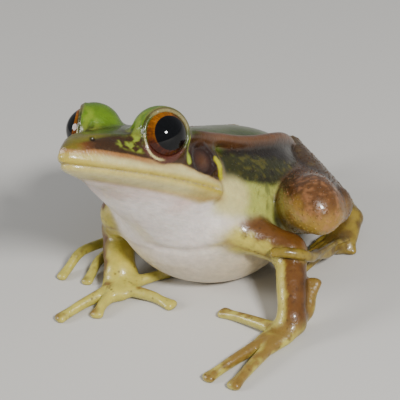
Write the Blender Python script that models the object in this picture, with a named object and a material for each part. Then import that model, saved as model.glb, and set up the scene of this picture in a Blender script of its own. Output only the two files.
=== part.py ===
"""Green paddy frog, life size, sitting alert with its chest raised.

Sizes are in millimetres in a floor frame: +X is the frog's left, +Y runs backwards from the
snout, +Z is up, and the floor is z = 0. The head and trunk are laid out in a body frame that
starts at the front of the mouth and is pitched nose up, and are then turned into the floor frame.
At the end everything is moved so that the centre of the model's footprint is the origin.
"""

import math

import bmesh
import bpy
from mathutils import Matrix, Vector

MM = 0.001
GAP = 0.3                       # clearance between neighbouring pieces
NUDGE = Vector((0.011, 0.017, -0.013))    # moves a tool that lies edge to edge with its target

# Attitude of the head and trunk
BODY_PITCH = 34.0               # degrees, nose up
BODY_ROLL = 4.0                 # degrees, left side up
MOUTH_HEIGHT = 32.0             # front of the mouth above the floor

# Head, in the body frame
MOUTH_CORNER = 22.5
EYE_CENTRE = Vector((5.7, 14.0, 5.9))
EYE_RADIUS = 3.7
LID_THICKNESS = 0.75
LID_OPENING = 3.15
EYE_AXIS = Vector((0.87, -0.48, 0.12))
NOSTRIL = Vector((2.0, 3.9, 4.1))
EARDRUM = Vector((9.5, 19.9, 3.2))
EARDRUM_RADIUS = 2.1
EARDRUM_AXIS = Vector((1.0, -0.04, 0.12))
LIP_RADIUS = 0.45
LIP_SINK = 0.25
FOLD_RADIUS = 0.8

# Digits
FINGER_RADIUS = 0.8
FINGER_TIP = 1.1
TOE_RADIUS = 0.75
TOE_TIP = 0.95
WEB_THICKNESS = 0.7
WEB_REACH = (0.7, 0.7, 0.55, 0.5)    # share of each pair of toes that is webbed

COLOURS = {
    "green": (0.13, 0.24, 0.03),
    "cream": (0.72, 0.66, 0.42),
    "brown": (0.36, 0.21, 0.09),
    "olive": (0.40, 0.33, 0.13),
    "yellow": (0.62, 0.52, 0.17),
    "eye": (0.05, 0.02, 0.01),
    "eardrum": (0.20, 0.10, 0.05),
}


def body_turn():
    """Rotation from the body frame to the floor frame."""
    pitch = Matrix.Rotation(-math.radians(BODY_PITCH), 3, "X")
    roll = Matrix.Rotation(-math.radians(BODY_ROLL), 3, "Y")
    return roll @ pitch


TURN = body_turn()


def body(x, y, z):
    """A point of the body frame, in the floor frame."""
    return TURN @ Vector((x, y, z)) + Vector((0.0, 0.0, MOUTH_HEIGHT))


def catmull(values, t):
    """Smooth value at t, in steps of one between listed values."""
    last = len(values) - 1
    i = min(int(t), last - 1)
    f = t - i
    a = values[max(i - 1, 0)]
    b, c = values[i], values[i + 1]
    d = values[min(i + 2, last)]
    return 0.5 * (2 * b + (c - a) * f + (2 * a - 5 * b + 4 * c - d) * f * f
                  + (3 * b - a - 3 * c + d) * f * f * f)


def superellipse(angle, power):
    """Point on a unit superellipse."""
    c, s = math.cos(angle), math.sin(angle)
    x = math.copysign(abs(c) ** (2.0 / power), c)
    z = math.copysign(abs(s) ** (2.0 / power), s)
    return x, z


def mesh_object(name, bm):
    """A new object from a bmesh in millimetres, with its faces pointing out."""
    bmesh.ops.recalc_face_normals(bm, faces=bm.faces)
    mesh = bpy.data.meshes.new(name)
    bm.to_mesh(mesh)
    bm.free()
    mesh.shade_smooth()
    made = bpy.data.objects.new(name, mesh)
    bpy.context.scene.collection.objects.link(made)
    return made


def skin_rings(name, rings, start, end):
    """A closed surface through rings of points, with a pole at each end."""
    bm = bmesh.new()
    rows = [[bm.verts.new(p) for p in ring] for ring in rings]
    count = len(rows[0])
    for low, high in zip(rows, rows[1:]):
        for i in range(count):
            j = (i + 1) % count
            bm.faces.new((low[i], low[j], high[j], high[i]))
    for ring, pole in ((rows[0], bm.verts.new(start)), (rows[-1], bm.verts.new(end))):
        for i in range(count):
            bm.faces.new((ring[i], ring[(i + 1) % count], pole))
    return mesh_object(name, bm)


def limb(name, stations, grow=0.0, sides=12, steps=3, up=(0.0, 0.0, 1.0)):
    """A round-ended limb through stations of (point, half width, half height)."""
    points = [Vector(s[0]) for s in stations]
    last = len(points) - 1
    samples = [last * k / (last * steps) for k in range(last * steps + 1)]
    path = []
    for t in samples:
        at = catmull(points, t)
        ahead = catmull(points, min(t + 0.02, last))
        behind = catmull(points, max(t - 0.02, 0.0))
        wide = catmull([s[1] for s in stations], t) + grow
        tall = catmull([s[2] for s in stations], t) + grow
        path.append((at, (ahead - behind).normalized(), wide, tall))
    rows = []
    cap = [math.radians(a) for a in (65, 35)]
    at, along, wide, tall = path[0]
    for angle in cap:
        back = min(wide, tall) * math.sin(angle)
        rows.append((at - along * back, along, wide * math.cos(angle), tall * math.cos(angle)))
    start = at - along * min(wide, tall)
    rows.extend(path)
    at, along, wide, tall = path[-1]
    for angle in reversed(cap):
        out = min(wide, tall) * math.sin(angle)
        rows.append((at + along * out, along, wide * math.cos(angle), tall * math.cos(angle)))
    end = at + along * min(wide, tall)
    rings = []
    for at, along, wide, tall in rows:
        side = along.cross(Vector(up)).normalized()
        top = side.cross(along)
        ring = []
        for k in range(sides):
            angle = 2 * math.pi * k / sides
            ring.append(at + side * wide * math.cos(angle) + top * tall * math.sin(angle))
        rings.append(ring)
    return skin_rings(name, rings, start, end)


def trunk_loft(name, profile, middle, powers, grow, sides, steps):
    """A body-frame loft: profile rows are (back, half width, top, bottom), or with a level too."""
    last = len(profile) - 1
    rings = []
    for k in range(last * steps + 1):
        t = last * k / (last * steps)
        y, wide, top, bottom = (catmull([row[c] for row in profile], t) for c in range(4))
        if k == 0:
            y -= grow
        if k == last * steps:
            y += grow
        level = middle(y) if callable(middle) else catmull([row[4] for row in profile], t)
        ring = []
        for s in range(sides):
            angle = 2 * math.pi * s / sides
            upper = math.sin(angle) >= 0
            x, z = superellipse(angle, powers[0] if upper else powers[1])
            reach = (top - level) if upper else (level - bottom)
            ring.append(body(x * (wide + grow), y, level + z * (reach + grow)))
        rings.append(ring)
    first, final = profile[0], profile[-1]
    start = body(0.0, first[0] - 0.4 - 2 * grow, 0.5 * (first[2] + first[3]))
    end = body(0.0, final[0] + 0.6 + 2 * grow, 0.5 * (final[2] + final[3]))
    return skin_rings(name, rings, start, end)


def ball(name, centre, radius, grow=0.0, segments=16, rings=9):
    """A round ball."""
    bm = bmesh.new()
    bmesh.ops.create_uvsphere(bm, u_segments=segments, v_segments=rings, radius=radius + grow)
    bmesh.ops.translate(bm, verts=bm.verts, vec=centre)
    return mesh_object(name, bm)


def rod(name, centre, axis, radius, low, high, sides=20, flare=1.0):
    """A straight rod along axis, from low to high past its centre."""
    bm = bmesh.new()
    bmesh.ops.create_cone(bm, cap_ends=True, segments=sides, radius1=radius,
                          radius2=radius * flare, depth=high - low)
    turn = Vector((0.0, 0.0, 1.0)).rotation_difference(axis.normalized()).to_matrix().to_4x4()
    place = Matrix.Translation(centre + axis.normalized() * 0.5 * (low + high)) @ turn
    bmesh.ops.transform(bm, verts=bm.verts, matrix=place)
    return mesh_object(name, bm)


def hoop(name, centre, axis, radius, thick, around=16, sides=6):
    """A ring of round section, square to axis."""
    turn = Vector((0.0, 0.0, 1.0)).rotation_difference(axis.normalized()).to_matrix()
    bm = bmesh.new()
    rows = []
    for i in range(around):
        turn_angle = 2 * math.pi * i / around
        out = Vector((math.cos(turn_angle), math.sin(turn_angle), 0.0))
        row = []
        for j in range(sides):
            angle = 2 * math.pi * j / sides
            spot = out * (radius + thick * math.cos(angle))
            spot.z = thick * math.sin(angle)
            row.append(bm.verts.new(centre + turn @ spot))
        rows.append(row)
    for i in range(around):
        near, far = rows[i], rows[(i + 1) % around]
        for j in range(sides):
            k = (j + 1) % sides
            bm.faces.new((near[j], near[k], far[k], far[j]))
    return mesh_object(name, bm)


def web_sheet(name, near, far, reach, thickness, grow=0.0, rows=5):
    """A sheet between two toes, from their roots out to a share of their length."""
    def at(route, share):
        return catmull(route, share * (len(route) - 1))
    half = 0.5 * thickness + grow
    bm = bmesh.new()
    levels = []
    for k in range(rows):
        share = reach * k / (rows - 1)
        a, b = at(near, share), at(far, share)
        held = 0.68 * share
        middle = (at(near, held) + at(far, held)) * 0.5
        along = (at(near, share + 0.02) - at(near, share)).normalized()
        level = []
        for point in (a - (b - a).normalized() * grow, middle, b + (b - a).normalized() * grow):
            place = point + along * (grow if k else -grow)
            level.append([bm.verts.new(place + Vector((0.0, 0.0, h))) for h in (-half, half)])
        levels.append(level)
    for low, high in zip(levels, levels[1:]):
        for i in range(2):
            for h in (0, 1):
                bm.faces.new((low[i][h], low[i + 1][h], high[i + 1][h], high[i][h]))
        for i in (0, 2):
            bm.faces.new((low[i][0], low[i][1], high[i][1], high[i][0]))
    for level in (levels[0], levels[-1]):
        for i in range(2):
            bm.faces.new((level[i][0], level[i + 1][0], level[i + 1][1], level[i][1]))
    bmesh.ops.triangulate(bm, faces=bm.faces)
    return mesh_object(name, bm)


def prism(name, outline, half_width):
    """A body-frame side outline of (y, z), stretched across the body."""
    bm = bmesh.new()
    rows = [[bm.verts.new(body(x, y, z)) for y, z in outline] for x in (-half_width, half_width)]
    bm.faces.new(list(reversed(rows[0])))
    bm.faces.new(rows[1])
    for i in range(len(outline)):
        j = (i + 1) % len(outline)
        bm.faces.new((rows[0][i], rows[0][j], rows[1][j], rows[1][i]))
    return mesh_object(name, bm)


def is_closed(bm):
    """Whether every edge of a bmesh has exactly two faces."""
    return all(len(edge.link_faces) == 2 for edge in bm.edges)


def evaluated(target, weld):
    """A target's mesh with its modifiers applied, as a bmesh of one closed surface."""
    graph = bpy.context.evaluated_depsgraph_get()
    mesh = bpy.data.meshes.new_from_object(target.evaluated_get(graph))
    bm = bmesh.new()
    bm.from_mesh(mesh)
    bpy.data.meshes.remove(mesh)
    if weld:
        bmesh.ops.remove_doubles(bm, verts=bm.verts, dist=weld)
        bmesh.ops.dissolve_degenerate(bm, edges=bm.edges, dist=0.5 * weld)
    bmesh.ops.triangulate(bm, faces=bm.faces)
    keep_largest(bm)
    return bm


def keep_largest(bm):
    """Drop every separate surface of a bmesh except the one with most area."""
    bm.faces.ensure_lookup_table()
    seen = set()
    groups = []
    for face in bm.faces:
        if face in seen:
            continue
        group, queue = [], [face]
        seen.add(face)
        while queue:
            here = queue.pop()
            group.append(here)
            for edge in here.edges:
                for other in edge.link_faces:
                    if other not in seen:
                        seen.add(other)
                        queue.append(other)
        groups.append(group)
    groups.sort(key=lambda group: sum(face.calc_area() for face in group))
    scraps = [face for group in groups[:-1] for face in group]
    bmesh.ops.delete(bm, geom=scraps, context="FACES")
    loose = [vert for vert in bm.verts if not vert.link_faces]
    bmesh.ops.delete(bm, geom=loose, context="VERTS")


def combine(target, tools, operation):
    """Boolean a target with each tool in turn, removing the tools."""
    for tool in tools:
        change = target.modifiers.new(operation, "BOOLEAN")
        change.operation = operation
        change.object = tool
        for attempt in range(9):
            change.solver = "MANIFOLD" if attempt % 3 == 2 else "EXACT"
            tool.location = NUDGE * (attempt // 3)
            bpy.context.view_layer.update()
            bm = evaluated(target, 0.0 if attempt % 3 == 1 else 0.002)
            if bm.faces and is_closed(bm):
                break
            bm.free()
            bm = None
        target.modifiers.clear()
        if bm is None:
            raise ValueError("no closed result: " + target.name + " " + operation + " " + tool.name)
        bm.to_mesh(target.data)
        bm.free()
        target.data.shade_smooth()
        bpy.data.objects.remove(tool)


def floor_block():
    """Everything below the floor."""
    bm = bmesh.new()
    bmesh.ops.create_cube(bm, size=1.0)
    bmesh.ops.scale(bm, verts=bm.verts, vec=(140.0, 140.0, 20.0))
    bmesh.ops.translate(bm, verts=bm.verts, vec=(0.0, 30.0, -10.0))
    return mesh_object("below_floor", bm)


# Head and trunk

HEAD_PROFILE = (
    # back, half width, top, bottom
    (0.8, 0.7, 2.6, 0.6),
    (1.6, 1.5, 3.2, 0.0),
    (3.0, 2.6, 4.1, -0.6),
    (5.0, 3.9, 4.8, -0.9),
    (8.0, 5.8, 5.5, -1.1),
    (11.0, 7.2, 6.2, -1.3),
    (14.0, 8.3, 6.9, -1.6),
    (17.0, 9.1, 7.4, -2.0),
    (20.0, 9.7, 7.6, -2.6),
    (23.0, 10.1, 7.8, -3.4),
    (26.0, 10.3, 8.0, -4.4),
)

JAW_PROFILE = (
    (1.7, 0.7, 0.9, -0.2),
    (3.0, 1.7, 1.2, -0.7),
    (5.0, 3.2, 1.4, -1.3),
    (8.0, 5.2, 1.6, -1.9),
    (11.0, 6.9, 1.8, -2.4),
    (14.0, 8.1, 2.0, -3.5),
    (17.0, 9.0, 2.2, -5.2),
    (20.0, 9.7, 2.4, -6.7),
    (23.0, 10.2, 2.6, -8.1),
    (25.3, 10.4, 2.8, -9.3),
)

TRUNK_PROFILE = (
    # back, half width, top, bottom, level of the widest line
    (22.0, 8.0, 5.6, -6.4, -1.6),
    (24.6, 10.2, 7.6, -9.0, -1.6),
    (28.5, 11.6, 8.4, -12.0, -2.0),
    (33.0, 12.6, 9.1, -13.6, -2.4),
    (38.0, 13.0, 9.9, -13.4, -2.2),
    (42.0, 12.3, 10.2, -11.3, -1.4),
    (46.0, 10.6, 9.9, -8.7, -0.4),
    (50.0, 8.2, 8.6, -5.9, 0.8),
    (54.0, 5.9, 6.4, -3.0, 1.6),
    (57.0, 4.0, 4.4, -0.7, 1.8),
    (59.0, 2.2, 3.0, 0.6, 1.8),
)


def head_form(grow=0.0):
    return trunk_loft("head_form", HEAD_PROFILE, lambda y: 1.5, (2.3, 2.2), grow, 24, 2)


def jaw_form(grow=0.0):
    return trunk_loft("jaw_form", JAW_PROFILE, mouth_level, (2.0, 1.55), grow, 24, 2)


def half_width_at(profile, y):
    """Half width of a profile at a place along the body."""
    for near, far in zip(profile, profile[1:]):
        if near[0] <= y <= far[0]:
            part = (y - near[0]) / (far[0] - near[0])
            return near[1] + part * (far[1] - near[1])
    return profile[-1][1]


def mouth_level(y):
    """Height of the line of the mouth, which sags a little to its corner."""
    return 0.4 - 0.7 * (max(y, 0.0) / MOUTH_CORNER) ** 3


def lip(name, profile, above, radius):
    """A raised rim round the mouth, from one corner to the other."""
    ys = [MOUTH_CORNER, 19.0, 15.0, 11.0, 7.5, 4.6, 2.6]
    side = [(half_width_at(profile, y) - LIP_SINK, y, mouth_level(y) + above) for y in ys]
    route = [body(*p) for p in side] + [body(0.0, profile[0][0] + LIP_SINK, mouth_level(0.0) + above)]
    route += [body(-x, y, z) for x, y, z in reversed(side)]
    stations = [(p, radius, radius) for p in route]
    return limb(name, stations, sides=6, steps=1, up=TURN @ Vector((0.0, 0.0, 1.0)))


def mouth_cut(name, below):
    """The region under the line of the mouth, pushed down by a distance."""
    ys = [(MOUTH_CORNER - below) * k / 8 for k in range(9)]
    line = [(-3.0, -below)] + [(y, mouth_level(y) - below) for y in ys]
    throat = [(MOUTH_CORNER - 0.6 - below, -6.0), (MOUTH_CORNER - 2.0 - below, -16.0), (-3.0, -16.0)]
    return prism(name, line + throat, 16.0)


def mirrored(vector, side):
    return Vector((vector.x * side, vector.y, vector.z))


def head_pieces():
    pieces = [head_form(), jaw_form(), lip("upper_lip", HEAD_PROFILE, 0.7, LIP_RADIUS)]
    for side in (1, -1):
        eye = body(*mirrored(EYE_CENTRE, side))
        pieces.append(ball("lid", eye, EYE_RADIUS + LID_THICKNESS))
        nostril = body(*mirrored(NOSTRIL, side))
        pieces.append(ball("nostril_mound", nostril - TURN @ mirrored(Vector((0.35, 0.0, 0.4)), side),
                           0.9, segments=10, rings=8))
        ear = body(*mirrored(EARDRUM, side))
        ear_axis = TURN @ mirrored(EARDRUM_AXIS, side)
        pieces.append(hoop("ear_ring", ear - ear_axis * 0.25, ear_axis, EARDRUM_RADIUS + 0.65, 0.4))
    return pieces + fold_roots()


def fold_roots(grow=0.0):
    """The front ends of the two folds, which start behind the eyes."""
    roots = []
    for side in (1, -1):
        route = [(body(side * x, y, z), FOLD_RADIUS, FOLD_RADIUS) for x, y, z in
                 ((7.6, 16.6, 6.2), (8.0, 19.0, 6.5), (8.0, 22.5, 6.6), (7.8, 25.0, 6.8))]
        roots.append(limb("fold_root", route, grow, sides=6, steps=2))
    return roots


def head_cutters():
    cutters = [mouth_cut("mouth", -0.5 * GAP)]
    for side in (1, -1):
        eye = body(*mirrored(EYE_CENTRE, side))
        axis = TURN @ mirrored(EYE_AXIS, side)
        cutters.append(rod("opening", eye, axis, LID_OPENING, 0.0, 8.0, flare=1.25))
        cutters.append(ball("socket", eye, EYE_RADIUS, grow=GAP, segments=16, rings=9))
        nostril = body(*mirrored(NOSTRIL, side))
        out = TURN @ mirrored(Vector((0.75, -0.25, 0.4)), side)
        cutters.append(rod("nostril_hole", nostril, out, 0.42, -0.7, 2.0, sides=10, flare=1.5))
        ear = body(*mirrored(EARDRUM, side))
        ear_axis = TURN @ mirrored(EARDRUM_AXIS, side)
        cutters.append(rod("ear_pit", ear, ear_axis, EARDRUM_RADIUS + GAP, -0.9, 3.0, sides=16))
    return cutters


def jaw_pieces():
    return [jaw_form(), lip("lower_lip", JAW_PROFILE, -0.65, LIP_RADIUS)]


def trunk_pieces(grow=0.0):
    pieces = [trunk_loft("trunk_form", TRUNK_PROFILE, None, (2.05, 2.1), grow, 28, 2)]
    for side in (1, -1):
        fold = [(body(side * x, y, z), FOLD_RADIUS, FOLD_RADIUS) for x, y, z in
                ((7.5, 24.6, 6.6), (8.0, 29.0, 6.9), (8.2, 33.5, 7.4), (8.0, 38.0, 8.2),
                 (7.2, 42.5, 8.8), (6.0, 46.5, 8.5), (4.9, 50.0, 7.1))]
        pieces.append(limb("fold", fold, grow, sides=6, steps=2))
    return pieces


def eye_piece(side, grow=0.0):
    return [ball("eyeball", body(*mirrored(EYE_CENTRE, side)), EYE_RADIUS, grow, 24, 14)]


def eardrum_piece(side):
    ear = body(*mirrored(EARDRUM, side))
    ear_axis = TURN @ mirrored(EARDRUM_AXIS, side)
    return [rod("eardrum", ear, ear_axis, EARDRUM_RADIUS, -0.6, 0.15, sides=20, flare=0.88)]


# Limbs: stations of (point, half width, half height) in the floor frame

UPPER_ARM = {
    "left": (((8.8, 21.0, 12.0), 3.3, 3.2), ((13.5, 22.4, 10.1), 2.75, 2.65), ((17.9, 23.1, 8.2), 2.3, 2.3)),
    "right": (((-8.0, 20.2, 12.0), 3.3, 3.2), ((-11.4, 23.3, 8.6), 2.7, 2.6), ((-13.9, 25.6, 5.8), 2.0, 2.0)),
}
FOREARM = {
    "left": (((18.3, 22.9, 7.7), 2.1, 2.1), ((20.3, 19.0, 5.3), 2.15, 2.1), ((21.9, 15.4, 2.7), 1.85, 1.75)),
    "right": (((-14.0, 25.4, 5.3), 2.1, 2.1), ((-11.9, 22.1, 3.8), 2.4, 2.2), ((-9.9, 19.0, 2.4), 2.2, 1.9)),
}
PALM = {
    "left": (((22.0, 15.0, 1.8), 1.9, 1.5), ((21.2, 12.8, 1.2), 2.3, 1.3), ((20.4, 10.6, 1.0), 1.9, 1.1)),
    "right": (((-9.7, 18.9, 1.7), 2.3, 1.6), ((-8.8, 16.9, 1.2), 2.8, 1.3), ((-8.4, 15.0, 1.0), 2.3, 1.1)),
}
FINGERS = {
    "left": (
        ((21.6, 14.6, 1.4), (22.8, 18.0, 1.7), (22.4, 21.6, 4.6)),
        ((20.2, 13.8, 1.2), (15.0, 15.0, 1.0), (9.8, 16.2, 0.45)),
        ((20.0, 11.2, 1.1), (18.0, 6.0, 0.95), (16.2, 1.6, 0.45)),
        ((21.2, 11.2, 1.1), (21.0, 5.9, 0.95), (20.6, 1.1, 0.45)),
    ),
    "right": (
        ((-7.6, 17.8, 1.2), (-5.8, 20.4, 1.0), (-4.6, 22.8, 0.45)),
        ((-7.6, 16.4, 1.2), (-2.8, 16.2, 1.0), (1.1, 15.6, 0.45)),
        ((-8.6, 15.2, 1.1), (-8.7, 12.4, 1.0), (-8.5, 10.1, 0.45)),
        ((-9.8, 15.4, 1.1), (-11.6, 11.4, 1.0), (-13.4, 7.6, 0.45)),
    ),
}
THIGH = {
    "left": (((6.5, 43.5, 6.0), 4.8, 4.8), ((14.8, 34.2, 8.8), 4.4, 4.4), ((22.0, 26.3, 14.0), 3.5, 3.5)),
    "right": (((-6.2, 43.5, 6.2), 4.6, 4.6), ((-14.8, 37.2, 9.8), 4.3, 4.3), ((-20.6, 31.2, 15.0), 3.4, 3.4)),
}
SHANK = {
    "left": (((22.0, 29.8, 12.5), 2.8, 2.8), ((13.6, 38.9, 10.5), 2.5, 2.6), ((5.3, 46.6, 10.4), 1.9, 2.0)),
    "right": (((-20.8, 34.8, 13.2), 2.8, 2.8), ((-14.2, 42.8, 10.8), 2.6, 2.6), ((-7, 49.4, 9.4), 1.9, 2.0)),
}
TARSUS = {
    "left": (((5.6, 47.1, 8.8), 1.6, 1.6), ((9.6, 46.4, 6.0), 1.5, 1.6), ((14.0, 44.4, 4.3), 1.5, 1.6),
             ((17.0, 41.6, 3.2), 1.6, 1.5)),
    "right": (
        ((-7.2, 49.9, 7.8), 1.6, 1.6),
        ((-9.2, 47.8, 4.8), 1.5, 1.6),
        ((-11.6, 44.8, 2.8), 1.5, 1.5),
        ((-13.4, 41.8, 1.7), 1.7, 1.35),
    ),
}
SOLE = {
    "left": (((17.6, 41.2, 3.0), 1.8, 1.4), ((17.6, 38.4, 1.9), 2.3, 1.4), ((17.4, 36.2, 1.1), 2.0, 1.2)),
    "right": (((-13.6, 41.2, 1.4), 1.8, 1.2), ((-14.8, 37.4, 1.1), 2.4, 1.15), ((-15.6, 34, 1.0), 2.3, 1.1)),
}
TOES = {
    "left": (
        ((16.4, 38.4, 1.5), (14.6, 37.0, 1.0), (13.9, 35.6, 0.4)),
        ((16.6, 37.4, 1.5), (15.0, 34.0, 1.0), (13.8, 31.4, 0.4)),
        ((17.2, 36.6, 1.6), (16.0, 31.8, 1.1), (15.0, 27.6, 0.4)),
        ((17.9, 37.0, 1.8), (18.4, 32.4, 2.4), (19.0, 28.2, 4.7), (21.2, 23.6, 7.4),
         (20.9, 21.4, 9.1), (19.5, 20.2, 9.9), (17.8, 19.7, 9.9)),
        ((18.2, 40.2, 2.6), (19.2, 38.2, 1.8), (19.7, 36.4, 0.45)),
    ),
    "right": (
        ((-14.2, 37.4, 1.2), (-13.4, 34.6, 0.9), (-13.4, 32.0, 0.4)),
        ((-14.8, 35.4, 1.2), (-14.2, 31.0, 0.9), (-14.0, 27.6, 0.4)),
        ((-15.4, 34.2, 1.2), (-16.0, 27.4, 1.1), (-16.0, 22.0, 1.4), (-15.4, 17.4, 0.4)),
        ((-16.0, 34.2, 1.2), (-18.0, 27.2, 1.5), (-19.4, 22.2, 2.2), (-20.2, 17.4, 0.4)),
        ((-16.4, 35.6, 1.2), (-18.4, 31.6, 0.9), (-19.6, 28.0, 0.4)),
    ),
}


def digit(name, route, radius, tip, grow=0.0):
    """A finger or toe, thickened at its end into a small flat disc."""
    points = [Vector(p) for p in route]
    last = len(points) - 1
    back = points[-2] - points[-1]
    neck = points[-1] + back.normalized() * min(1.9, 0.5 * back.length)
    points.insert(last, neck)
    stations = [(points[0], radius * 1.25, radius * 1.2)]
    stations += [(p, radius, radius) for p in points[1:-1]]
    stations.append((points[-1], tip, tip * 0.62))
    return limb(name, stations, grow, sides=6, steps=2)


def arm_pieces(which, side, grow=0.0):
    return [limb("arm", which[side], grow)]


def hand_pieces(side, grow=0.0):
    pieces = [limb("palm", PALM[side], grow)]
    for route in FINGERS[side]:
        pieces.append(digit("finger", route, FINGER_RADIUS, FINGER_TIP, grow))
    return pieces


def foot_pieces(side, grow=0.0):
    pieces = [limb("sole", SOLE[side], grow)]
    for route in TOES[side]:
        pieces.append(digit("toe", route, TOE_RADIUS, TOE_TIP, grow))
    for near, far, reach in zip(TOES[side], TOES[side][1:], WEB_REACH):
        near, far = [Vector(p) for p in near], [Vector(p) for p in far]
        pieces.append(web_sheet("web", near, far, reach, WEB_THICKNESS, grow))
    return pieces


def build(name, pieces, cutters, colour, roughness=0.35):
    """Join pieces, cut them clear of their neighbours and name the result."""
    made = pieces[0]
    combine(made, pieces[1:], "UNION")
    combine(made, cutters, "DIFFERENCE")
    made.name = name
    made.data.name = name
    shader = bpy.data.materials.new(name + "_skin")
    shader.use_nodes = True
    surface = shader.node_tree.nodes["Principled BSDF"]
    surface.inputs["Base Color"].default_value = (*COLOURS[colour], 1.0)
    surface.inputs["Roughness"].default_value = roughness
    surface.inputs["Metallic"].default_value = 0.0
    made.data.materials.clear()
    made.data.materials.append(shader)
    return made


def build_head():
    parts = [build("head", head_pieces(), head_cutters(), "green")]
    jaw = jaw_pieces()
    base = jaw[0]
    combine(base, jaw[1:], "UNION")
    combine(base, [mouth_cut("jaw_region", 0.5 * GAP)], "INTERSECT")
    parts.append(build("lower_jaw", [base], [], "cream"))
    for word, side in (("left", 1), ("right", -1)):
        parts.append(build("eye_" + word, eye_piece(side), [], "eye", 0.05))
        parts.append(build("eardrum_" + word, eardrum_piece(side), [], "eardrum"))
    return parts


def build_trunk():
    cutters = [head_form(GAP), jaw_form(GAP)] + fold_roots(GAP) + [floor_block()]
    return [build("torso", trunk_pieces(), cutters, "green")]


def build_limbs():
    parts = []
    for side in ("left", "right"):
        trunk = [lambda: trunk_pieces(GAP), lambda: [head_form(GAP), jaw_form(GAP)] + fold_roots(GAP)]
        upper = lambda side=side: arm_pieces(UPPER_ARM, side, GAP)
        fore = lambda side=side: arm_pieces(FOREARM, side, GAP)
        thigh = lambda side=side: arm_pieces(THIGH, side, GAP)
        shank = lambda side=side: arm_pieces(SHANK, side, GAP)
        tarsus = lambda side=side: arm_pieces(TARSUS, side, GAP)
        hand = lambda side=side: hand_pieces(side, GAP)
        plan = (
            ("upper_arm_" + side, arm_pieces(UPPER_ARM, side), trunk, "brown"),
            ("forearm_" + side, arm_pieces(FOREARM, side), trunk + [upper], "brown"),
            ("hand_" + side, hand_pieces(side), trunk + [upper, fore], "yellow"),
            ("thigh_" + side, arm_pieces(THIGH, side), trunk + [upper, fore], "brown"),
            ("shank_" + side, arm_pieces(SHANK, side), trunk + [upper, fore, thigh], "brown"),
            ("tarsus_" + side, arm_pieces(TARSUS, side), trunk + [thigh, shank], "olive"),
            ("foot_" + side, foot_pieces(side), trunk + [upper, fore, hand, thigh, shank, tarsus], "olive"),
        )
        for name, pieces, neighbours, colour in plan:
            cutters = [tool for neighbour in neighbours for tool in neighbour()]
            parts.append(build(name, pieces, cutters + [floor_block()], colour))
    return parts


def settle(parts):
    """Turn millimetres into metres, with the origin under the middle of the box."""
    corners = [vert.co for part in parts for vert in part.data.vertices]
    middle_x = 0.5 * (min(c.x for c in corners) + max(c.x for c in corners))
    middle_y = 0.5 * (min(c.y for c in corners) + max(c.y for c in corners))
    lowest = min(c.z for c in corners)
    move = Matrix.Scale(MM, 4) @ Matrix.Translation((-middle_x, -middle_y, -lowest))
    for part in parts:
        part.data.transform(move)
        spots = [vert.co for vert in part.data.vertices]
        centre = sum(spots, Vector()) / len(spots)
        part.data.transform(Matrix.Translation(-centre))
        part.location = centre


def main():
    for old in list(bpy.data.objects):
        bpy.data.objects.remove(old)
    parts = build_head() + build_trunk() + build_limbs()
    settle(parts)


main()
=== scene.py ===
"""Green paddy frog, life size: one skin with granules, two eyes, floor, light and camera.

Sizes are in millimetres in a floor frame: +X is the frog's left, +Y runs backwards from the
snout, +Z is up and the floor is z = 0. The head and trunk are laid out in a body frame that
starts at the front of the mouth and is pitched nose up. Finished pieces are moved to the place
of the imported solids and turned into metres.
"""

import math

import bmesh
import bpy
import numpy as np
from mathutils import Matrix, Vector


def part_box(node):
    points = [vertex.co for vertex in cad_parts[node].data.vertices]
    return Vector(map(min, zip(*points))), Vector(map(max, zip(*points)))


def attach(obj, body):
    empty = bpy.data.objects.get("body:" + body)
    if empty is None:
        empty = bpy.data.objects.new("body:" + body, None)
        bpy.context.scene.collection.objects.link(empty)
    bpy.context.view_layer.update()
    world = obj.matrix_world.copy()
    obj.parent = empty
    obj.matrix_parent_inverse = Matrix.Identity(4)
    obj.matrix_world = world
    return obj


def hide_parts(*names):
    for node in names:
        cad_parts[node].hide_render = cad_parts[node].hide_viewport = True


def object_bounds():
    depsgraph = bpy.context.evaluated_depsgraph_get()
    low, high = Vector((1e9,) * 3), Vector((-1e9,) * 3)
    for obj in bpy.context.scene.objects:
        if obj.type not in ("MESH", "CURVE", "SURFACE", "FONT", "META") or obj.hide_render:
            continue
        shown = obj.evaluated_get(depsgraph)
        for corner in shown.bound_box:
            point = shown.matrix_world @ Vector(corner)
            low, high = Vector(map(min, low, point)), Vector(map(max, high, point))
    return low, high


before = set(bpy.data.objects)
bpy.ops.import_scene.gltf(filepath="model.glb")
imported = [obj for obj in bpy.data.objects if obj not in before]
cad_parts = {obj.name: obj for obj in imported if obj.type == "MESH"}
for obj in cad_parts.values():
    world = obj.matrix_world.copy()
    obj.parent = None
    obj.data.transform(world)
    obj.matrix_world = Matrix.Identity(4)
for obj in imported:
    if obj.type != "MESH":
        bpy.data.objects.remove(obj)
cad_low, cad_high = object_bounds()

MM = 0.001
BODY_PITCH = 34.0
BODY_ROLL = 4.0
MOUTH_HEIGHT = 32.0
MOUTH_CORNER = 22.5

VOXEL = 0.37      # spacing of the skin's first net, halved round eyes and lips
SKIN_MARGIN = 1.2                         # the net starts this far outside the solids
REACH = 3.0                               # distances past this are not worked out
HEAD_REACH = 4.8                          # the same for lids and head forms, which stand over the lofts
FAR = 6.0                                 # stands for every distance past REACH
NECK = (22.3, 25.9)                       # the head's loft gives way to the trunk's between these

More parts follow.
